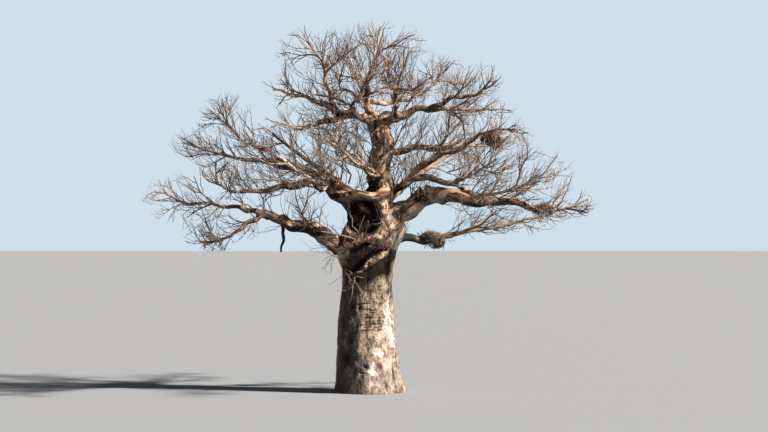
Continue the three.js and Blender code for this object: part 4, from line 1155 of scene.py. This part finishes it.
def trunk_skin(rings=350, sides=272):
    """Rings of the trunk from its flat foot to its top, spaced evenly in height."""
    share, angle = ring_grid(rings, sides)
    angle = np.where(angle > math.pi, angle - 2 * math.pi, angle)
    z = share * TRUNK_TOP[2]
    outward = np.stack([np.cos(angle), np.sin(angle), np.zeros_like(angle)], 1)
    radius, hollow, weathered, pale, ruddy = trunk_relief(angle, z)
    points = trunk_place(share) + outward * radius[:, None]
    points += outward * fillets(points, outward, radius, "trunk")[:, None]
    points, sunk = recess(points, outward)
    mottle = value_noise(points * [3, 3, 1.6], 45)
    grain = np.stack([np.cos(angle) * 1.4, np.sin(angle) * 1.4, z * 0.6], 1)
    ends = np.array([trunk_place(0.0), trunk_place(1.0)])
    # Painted shade of the hollows and the recess, painted shade of the side away from the light (partly dark
    # bark), and paleness from wear and from painted light on the fork's bulges
    values = with_ends(grain, ends * 0.6, hollow=hollow + sunk, weathered=weathered,
                       pale=np.maximum(pale, tinted(PAINTED_LIGHT_EGGS, points, mottle)),
                       ruddy=np.maximum(ruddy, tinted(RUDDY, points, mottle)))
    return np.concatenate([points, ends]), skin_triangles(rings, sides), values


def square_frame(place, share):
    """Two ways square to a limb and to each other at each share of its length: the cross product of its
    heading with up, or with +X where the limb rises steeply, and that of the first with the heading."""
    along = heading(place, share)
    aim = unit(place(1.0) - place(0.0))
    aside = np.array([1.0, 0, 0]) if abs(aim[2]) > 0.8 else UP
    a = unit(np.cross(aside, along))
    return a, np.cross(a, along)


def add_knobs(relief, order, share, angle, radius, length):
    """Raises rounded knobs on a bough, one to each 0.7 m: bells round places that chance picks."""
    shown = np.minimum(radius, 0.35)
    for knob in range(int(length / 0.7)):
        ids = order * 40 + knob
        where, turned, size, tall = (chance(ids, salt)[0] for salt in (71, 72, 73, 74))
        wide = (0.35 + 0.4 * size) * shown
        gone = turned_from(angle, turned * 6.283) * radius
        bulge = np.exp(-(gone**2 + ((share - where) * length) ** 2) / wide**2)
        relief += (0.22 + 0.25 * tall) * shown * bulge * np.clip((1 - share) * 8, 0, 1)


def bough_skin(name, order, step=0.05):
    """Rings carried along a bough, whose line noise makes crooked: radius * (1 + slow swellings + scaly
    ridges + plates), and knobs. The saddle has cross rings and is ruddy all over."""
    place, thick = LIMBS[name]
    length = length_of(place)
    rings = max(14, int(length / step))
    sides = int(np.clip(2 * math.pi * float(thick(0.3)) / step, 12, 72))
    share, angle = ring_grid(rings, sides)
    a, b = square_frame(place, share)
    outward = a * np.sin(angle)[:, None] + b * np.cos(angle)[:, None]
    radius = thick(share)
    far = np.stack([share * length * 1.3, share * 0 + order * 3.3, share * 0], 1)
    crook = a * value_noise(far, 61)[:, None] + b * value_noise(far + 9, 62)[:, None]
    centre = place(share) + crook * (0.6 * np.minimum(radius, 0.25) * (4 * share * (1 - share)))[:, None]
    skin = centre + outward * radius[:, None]
    rise = fillets(skin, outward, radius, name)
    local = np.stack([np.cos(angle) * radius, np.sin(angle) * radius, share * length], 1) + order * 3.7
    swell = 0.13 * value_noise(local * [2.4, 2.4, 1.5], 41) + 0.08 * value_noise(local * [6, 6, 3.4], 42)
    scales = ridged(local * [13, 13, 4.5], 43, 3)
    plates = ridged(local * [5, 5, 3], 44, 3)
    shown = np.minimum(radius, 0.35)
    relief = shown * (swell + 0.07 * scales + 0.11 * plates)
    if name == "saddle":
        relief -= 0.05 * shown * (0.5 + 0.5 * np.cos(share * 60 + 2 * swell * 6)) ** 3
    add_knobs(relief, order, share, angle, radius, length)
    points = skin + outward * (rise + relief)[:, None]
    points, sunk = (points, 0.0) if name == "saddle" else recess(points, outward)
    # Painted shade in the recess and in the troughs of the scales, plates and swellings
    hollow = sunk + 0.45 * np.clip(-scales - 0.1, 0, 1) + 0.5 * np.clip(-plates - 0.2, 0, 1)
    hollow += 0.4 * np.clip(-swell * 6 - 0.3, 0, 1)
    mottle = value_noise(local * [3, 3, 1.6], 45)
    if name == "saddle":
        ruddy = np.full(len(points), SADDLE_RUDDY)
    else:
        ruddy = tinted(RUDDY, points, mottle)
        # Painted shade: spots painted nearly black where shadows fall on the boughs
        hollow += dark_patches_and_painted_shade(points, mottle)
    # Painted shade: the undersides painted darker
    underside = np.clip(-1.4 * outward[:, 2] - 0.1 + 0.5 * mottle, 0, 1)
    ends = np.array([place(0.0), place(1.0)])
    # Paleness on the boughs is painted light on the bulges round the fork
    values = with_ends(local * [1, 1, 0.35], ends * 0.4, hollow=hollow, weathered=underside,
                       pale=tinted(PAINTED_LIGHT_EGGS, points, mottle), ruddy=ruddy)
    return np.concatenate([points, ends]), skin_triangles(rings, sides)[:, ::-1], values


# Materials

def new_material(name, roughness):
    """A material, its node tree and its shader, which has a faint gloss."""
    made = bpy.data.materials.new(name)
    made.use_nodes = True
    shader = made.node_tree.nodes["Principled BSDF"]
    shader.inputs["Roughness"].default_value = roughness
    shader.inputs["Specular IOR Level"].default_value = 0.25
    return made, made.node_tree, shader


def held(tree, name, kind="Fac"):
    """A value that the mesh holds at its points."""
    node = tree.nodes.new("ShaderNodeAttribute")
    node.attribute_name = name
    return node.outputs[kind]


def noise_on(tree, vector, scale, detail, rough):
    """Noise at the places that a vector gives."""
    noise = tree.nodes.new("ShaderNodeTexNoise")
    noise.inputs["Scale"].default_value = scale
    noise.inputs["Detail"].default_value = detail
    noise.inputs["Roughness"].default_value = rough
    tree.links.new(vector, noise.inputs["Vector"])
    return noise.outputs["Fac"]


def noise_of(tree, scale, detail=4.0, stretch=(1, 1, 1), rough=0.55):
    """Noise on Object coordinates, stretched by a Mapping node."""
    coords = tree.nodes.new("ShaderNodeTexCoord")
    mapping = tree.nodes.new("ShaderNodeMapping")
    mapping.inputs["Scale"].default_value = stretch
    tree.links.new(coords.outputs["Object"], mapping.inputs["Vector"])
    return noise_on(tree, mapping.outputs["Vector"], scale, detail, rough)


def grain_noise(tree, scale, detail, rough=0.6):
    """Noise that is drawn out along the trunk or the bough."""
    return noise_on(tree, held(tree, "grain", "Vector"), scale, detail, rough)


def ramp(tree, value, stops):
    """A colour ramp through (place, colour) stops."""
    node = tree.nodes.new("ShaderNodeValToRGB")
    elements = node.color_ramp.elements
    while len(elements) < len(stops):
        elements.new(0.5)
    for element, (where, colour) in zip(elements, stops):
        element.position = where
        element.color = (*colour, 1)
    tree.links.new(value, node.inputs["Fac"])
    return node.outputs["Color"]


def mix(tree, share, first, second):
    """Mixes two colours by a share between 0 and 1."""
    node = tree.nodes.new("ShaderNodeMix")
    node.data_type = "RGBA"
    tree.links.new(share, node.inputs["Factor"])
    for socket, colour in ((node.inputs[6], first), (node.inputs[7], second)):
        if isinstance(colour, tuple):
            socket.default_value = (*colour, 1)
        else:
            tree.links.new(colour, socket)
    return node.outputs[2]


def spread(tree, value, low, high):
    """Stretches a value so that low becomes 0 and high becomes 1, and clamps it."""
    node = tree.nodes.new("ShaderNodeMapRange")
    node.inputs["From Min"].default_value = low
    node.inputs["From Max"].default_value = high
    tree.links.new(value, node.inputs["Value"])
    return node.outputs["Result"]


def bump(tree, shader, height, distance, strength=1.0, under=None):
    """Raises the surface by a height, on top of another bump where one is given."""
    node = tree.nodes.new("ShaderNodeBump")
    node.inputs["Strength"].default_value = strength
    node.inputs["Distance"].default_value = distance
    tree.links.new(height, node.inputs["Height"])
    if under:
        tree.links.new(under, node.inputs["Normal"])
    tree.links.new(node.outputs["Normal"], shader.inputs["Normal"])
    return node.outputs["Normal"]


def height_of(tree, kind="Object"):
    """The Z of the Object coordinates, or of other ones."""
    coords = tree.nodes.new("ShaderNodeTexCoord")
    parts = tree.nodes.new("ShaderNodeSeparateXYZ")
    tree.links.new(coords.outputs[kind], parts.inputs["Vector"])
    return parts.outputs["Z"]


def product(tree, first, second):
    """One value times another one or a number."""
    node = tree.nodes.new("ShaderNodeMath")
    node.operation = "MULTIPLY"
    for socket, value in zip(node.inputs, (first, second)):
        if isinstance(value, float):
            socket.default_value = value
        else:
            tree.links.new(value, socket)
    return node.outputs[0]


def bark(name):
    """Bark of the trunk and boughs. Low down it is grey-tan, higher up warm brown and scaly. Streaks and
    flecks follow the grain. The trunk's side away from the light and the boughs' undersides are painted
    grey-brown as shade, partly dark bark; worn patches and painted light are pale; hollows and creases are
    painted near-black as shade."""
    made, tree, shader = new_material(name, 0.9)
    height = height_of(tree)
    streaks = grain_noise(tree, 3.4, 7)
    flecks = grain_noise(tree, 8.5, 3)
    grains = spread(tree, grain_noise(tree, 9.0, 5, 0.7), 0.4, 0.53)
    patches = spread(tree, noise_of(tree, 1.1, 4, (1, 1, 1), 0.65), 0.54, 0.6)
    wear_and_painted_light = spread(tree, noise_of(tree, 3.1, 6, (1, 1, 0.6)), 0.37, 0.46)
    burnt_share = product(tree, product(tree, patches, spread(tree, height, 6.0, 7.4)), 0.7)
    layers = {
        "ruddy": product(tree, held(tree, "ruddy"), grains),
        "fleck": product(tree, spread(tree, flecks, 0.53, 0.62), 0.5),
        "crack": product(tree, spread(tree, flecks, 0.48, 0.42), spread(tree, height, -7.0, 8.0)),
        "dark_patches_and_painted_shade": burnt_share,
        # Painted shade of the side away from the light and of the undersides, partly dark bark
        "weathered": product(tree, held(tree, "weathered"), 0.92),
        # Paleness from worn bark and from painted light
        "wear_and_painted_light": product(tree, held(tree, "pale"), wear_and_painted_light),
        # Painted shade of hollows, creases and the recess, nearly black
        "hollow": spread(tree, held(tree, "hollow"), 0.0, 0.8),
    }
    low, high = ramp(tree, streaks, LOW_BARK), ramp(tree, streaks, HIGH_BARK)
    colour = mix(tree, spread(tree, height, 5.2, 6.6), low, high)
    for layer, share in layers.items():
        colour = mix(tree, share, colour, BARK_TINTS[layer])
    tree.links.new(colour, shader.inputs["Base Color"])
    broad = bump(tree, shader, streaks, 0.08, 0.9)
    bump(tree, shader, noise_of(tree, 34, 5, rough=0.6), 0.015, 0.7, broad)
    return made


def twig_bark(name, colour):
    """One bark colour, a little lighter and darker by a fine grain."""
    made, tree, shader = new_material(name, 0.85)
    grain = noise_of(tree, 9, 4)
    dark, light = (tuple(c * k for c in colour) for k in (0.72, 1.28))
    tree.links.new(ramp(tree, grain, [(0.35, dark), (0.65, light)]), shader.inputs["Base Color"])
    bump(tree, shader, grain, 0.01, 0.6)
    return made


def straw(name, colour):
    """Dull straw of one colour, with a fine grain."""
    made, tree, shader = new_material(name, 0.95)
    shader.inputs["Base Color"].default_value = (*colour, 1)
    bump(tree, shader, noise_of(tree, 60, 3), 0.004, 0.5)
    return made


# Pieces

def show(made, slot, *nodes):
    """Fixes a piece to the tree's body and hides the nodes that it takes the place of. The slot is not used.
    """
    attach(made, "root")
    if nodes:
        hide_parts(*nodes)


def show_twigs(label, twigs, rings, sides, kind, nodes=()):
    """Joins twigs into pieces by their bark tint, which is dealt out by chance, twig by twig. The tints stand
    partly for lit and shaded twigs: painted light and painted shade.
    """
    deal = np.searchsorted(TINT_SHARES[kind], chance(twigs["number"], 77), side="right")
    most = MOST_TRIANGLES // (2 * sides * rings)
    for tint, tint_name in enumerate(TWIG_TINTS):
        chosen = np.flatnonzero(deal == tint)
        for part, first in enumerate(range(0, len(chosen), most)):
            some = choose(twigs, chosen[first:first + most])
            made = make_object(f"{label}_{tint_name}_{part}", *tubes(some, rings, sides), TWIG_BARKS[tint])
            show(made, "twigs", *nodes)
            nodes = ()


def nest_straws(middle, half, number, count, longest, heart):
    """Straws laid round an egg: each starts on it, runs along its skin and bends in with it. Those that
    lie the other way from the nest's own side, the heart, are left out where the nest hangs open. Also
    tells which straws are light: those on the outside of the thick side, which faces up towards the light, as
    painted light."""
    ids = np.arange(count, dtype=np.uint32) + np.uint32(number * 5000)
    z = 2 * chance(ids, 1) - 1
    turn = 2 * math.pi * chance(ids, 2)
    flat = np.sqrt(1 - z * z)
    ball = np.stack([flat * np.cos(turn), flat * np.sin(turn), z], 1)
    deep = 0.72 + 0.28 * chance(ids, 3)
    wild = any_way(ids, 4)
    way = unit(np.cross(ball, wild) + 0.25 * wild)
    length = (0.3 + 0.7 * chance(ids, 7)) * longest
    base = np.array(middle) + ball * np.array(half) * deep[:, None] - way * (length / 2)[:, None]
    curve = -ball * (0.25 * length)[:, None]
    straws = twig_set(base, way, length, curve, 0.006 + 0.008 * chance(ids, 8), ids, wander=0)
    side = ball @ unit(np.array(heart, float))
    light = side + 0.5 * chance(ids, 9) + 0.6 * (deep - 0.86) / 0.14 > 0.85
    return choose(straws, side > -0.45), light[side > -0.45]


# The tree

points, triangles, values = trunk_skin()
trunk = make_object("trunk_skin", points, triangles, bark("trunk_bark"), **values)
show(trunk, "trunk_bark", "trunk")

bough_bark = bark("bough_bark")
for order, name in enumerate(BOUGHS):
    points, triangles, values = bough_skin(name, order)
    skin = make_object(f"skin_{name}", points, triangles, bough_bark, **values)
    show(skin, "bough_bark", f"bough_{name}")

masses, solid = grow_masses()
grown = grow_more(masses, solid)
grown = choose(grown, (tips_of(grown) > np.array(CAD_BOX[0]) * 1.03).all(1))
slim = bough_shoots()
grown = join(grown, choose(slim, clear_of_all(slim, solid)))
shoots = listed_twigs(SHOOTS, 90000)
old = listed_twigs(OLD_BRANCHES, 95000)
crossing = listed_twigs(CROSSING_TWIGS, 97000)
second = join(*(side_twigs(stems, solid, **SIDE_TWIGS[kind]) for kind, stems in
                (("main", grown), ("shoots", shoots), ("old", old), ("crossing", crossing))))
third = side_twigs(second, solid, **SIDE_TWIGS["second"])
TWIG_BARKS = [twig_bark(f"twig_bark_{name}", colour) for name, colour in TWIG_TINTS.items()]
show_twigs("old_branches", old, rings=12, sides=9, kind="old")
show_twigs("main_twigs", join(grown, shoots, crossing), rings=7, sides=5, kind="main",
           nodes=[f"twigs_{name}" for name in MASSES])
show_twigs("side_twigs", second, rings=5, sides=4, kind="second")
show_twigs("fine_twigs", third, rings=3, sides=3, kind="third")

nest_barks = [straw(name, colour) for name, colour in STRAW_TINTS.items()]
for number, (name, (middle, half)) in enumerate(NESTS.items()):
    many, longest, heart = NEST_MAKE[name]
    straws, light = nest_straws(middle, half, number, int(many * half[0]), longest, heart)
    for tint, chosen in enumerate((~light, light)):
        laid = tubes(choose(straws, chosen), rings=3, sides=3, sink=0)
        made = make_object(f"{name}_straws_{tint}", *laid, nest_barks[tint])
        show(made, "nest", *([name] if tint == 0 else []))


# Studio: a flat pale floor, pale air, soft light from the right, and the camera

def floor_disc(radius=900.0, sides=96):
    """A flat disc: a fan of triangles round its middle."""
    turn = np.arange(sides) * 2 * math.pi / sides
    rim = np.stack([np.cos(turn) * radius, np.sin(turn) * radius, np.zeros(sides)], 1)
    side = np.arange(sides)
    triangles = np.stack([np.full(sides, sides), side, (side + 1) % sides], 1)
    made, _, shader = new_material("studio_floor", 1.0)
    shader.inputs["Base Color"].default_value = (0.175, 0.18, 0.187, 1)
    return make_object("studio_floor", np.concatenate([rim, [[0, 0, 0]]]), triangles, made)


def studio_air():
    """Pale air low down, dimmer overhead, by the height of each direction."""
    world = bpy.data.worlds.new("studio_air")
    world.use_nodes = True
    tree = world.node_tree
    colour = ramp(tree, height_of(tree, "Generated"), [(0.1, (0.62, 0.74, 0.84)), (0.17, (0.2, 0.25, 0.3)),
                                                       (0.32, (0.08, 0.10, 0.13))])
    tree.links.new(colour, tree.nodes["Background"].inputs["Color"])
    bpy.context.scene.world = world


def lamp(name, azimuth, elevation, strength, softness, colour):
    """A distant soft light; azimuth 0 is from the camera's side and 90 from the right."""
    data = bpy.data.lights.new(name, "SUN")
    data.energy = strength
    data.angle = math.radians(softness)
    data.color = colour
    made = bpy.data.objects.new(name, data)
    made.rotation_euler = (math.pi / 2 - math.radians(elevation), 0, math.radians(azimuth))
    bpy.context.scene.collection.objects.link(made)


def camera(width=36, lens=112.5):
    """A level camera with a long lens, far in front of the tree."""
    data = bpy.data.cameras.new("camera")
    data.sensor_width = width
    data.lens = lens
    data.clip_end = 600
    made = bpy.data.objects.new("camera", data)
    made.location = EYE
    made.rotation_euler = (math.pi / 2, 0, 0)
    bpy.context.scene.collection.objects.link(made)
    bpy.context.scene.camera = made
    bpy.context.scene.view_settings.view_transform = "Standard"


floor_disc()
studio_air()
lamp("key_light", azimuth=70, elevation=37, strength=14.5, softness=3, colour=(1.0, 0.95, 0.88))
lamp("fill_light", azimuth=10, elevation=20, strength=0.12, softness=60, colour=(0.9, 0.95, 1.0))
camera()
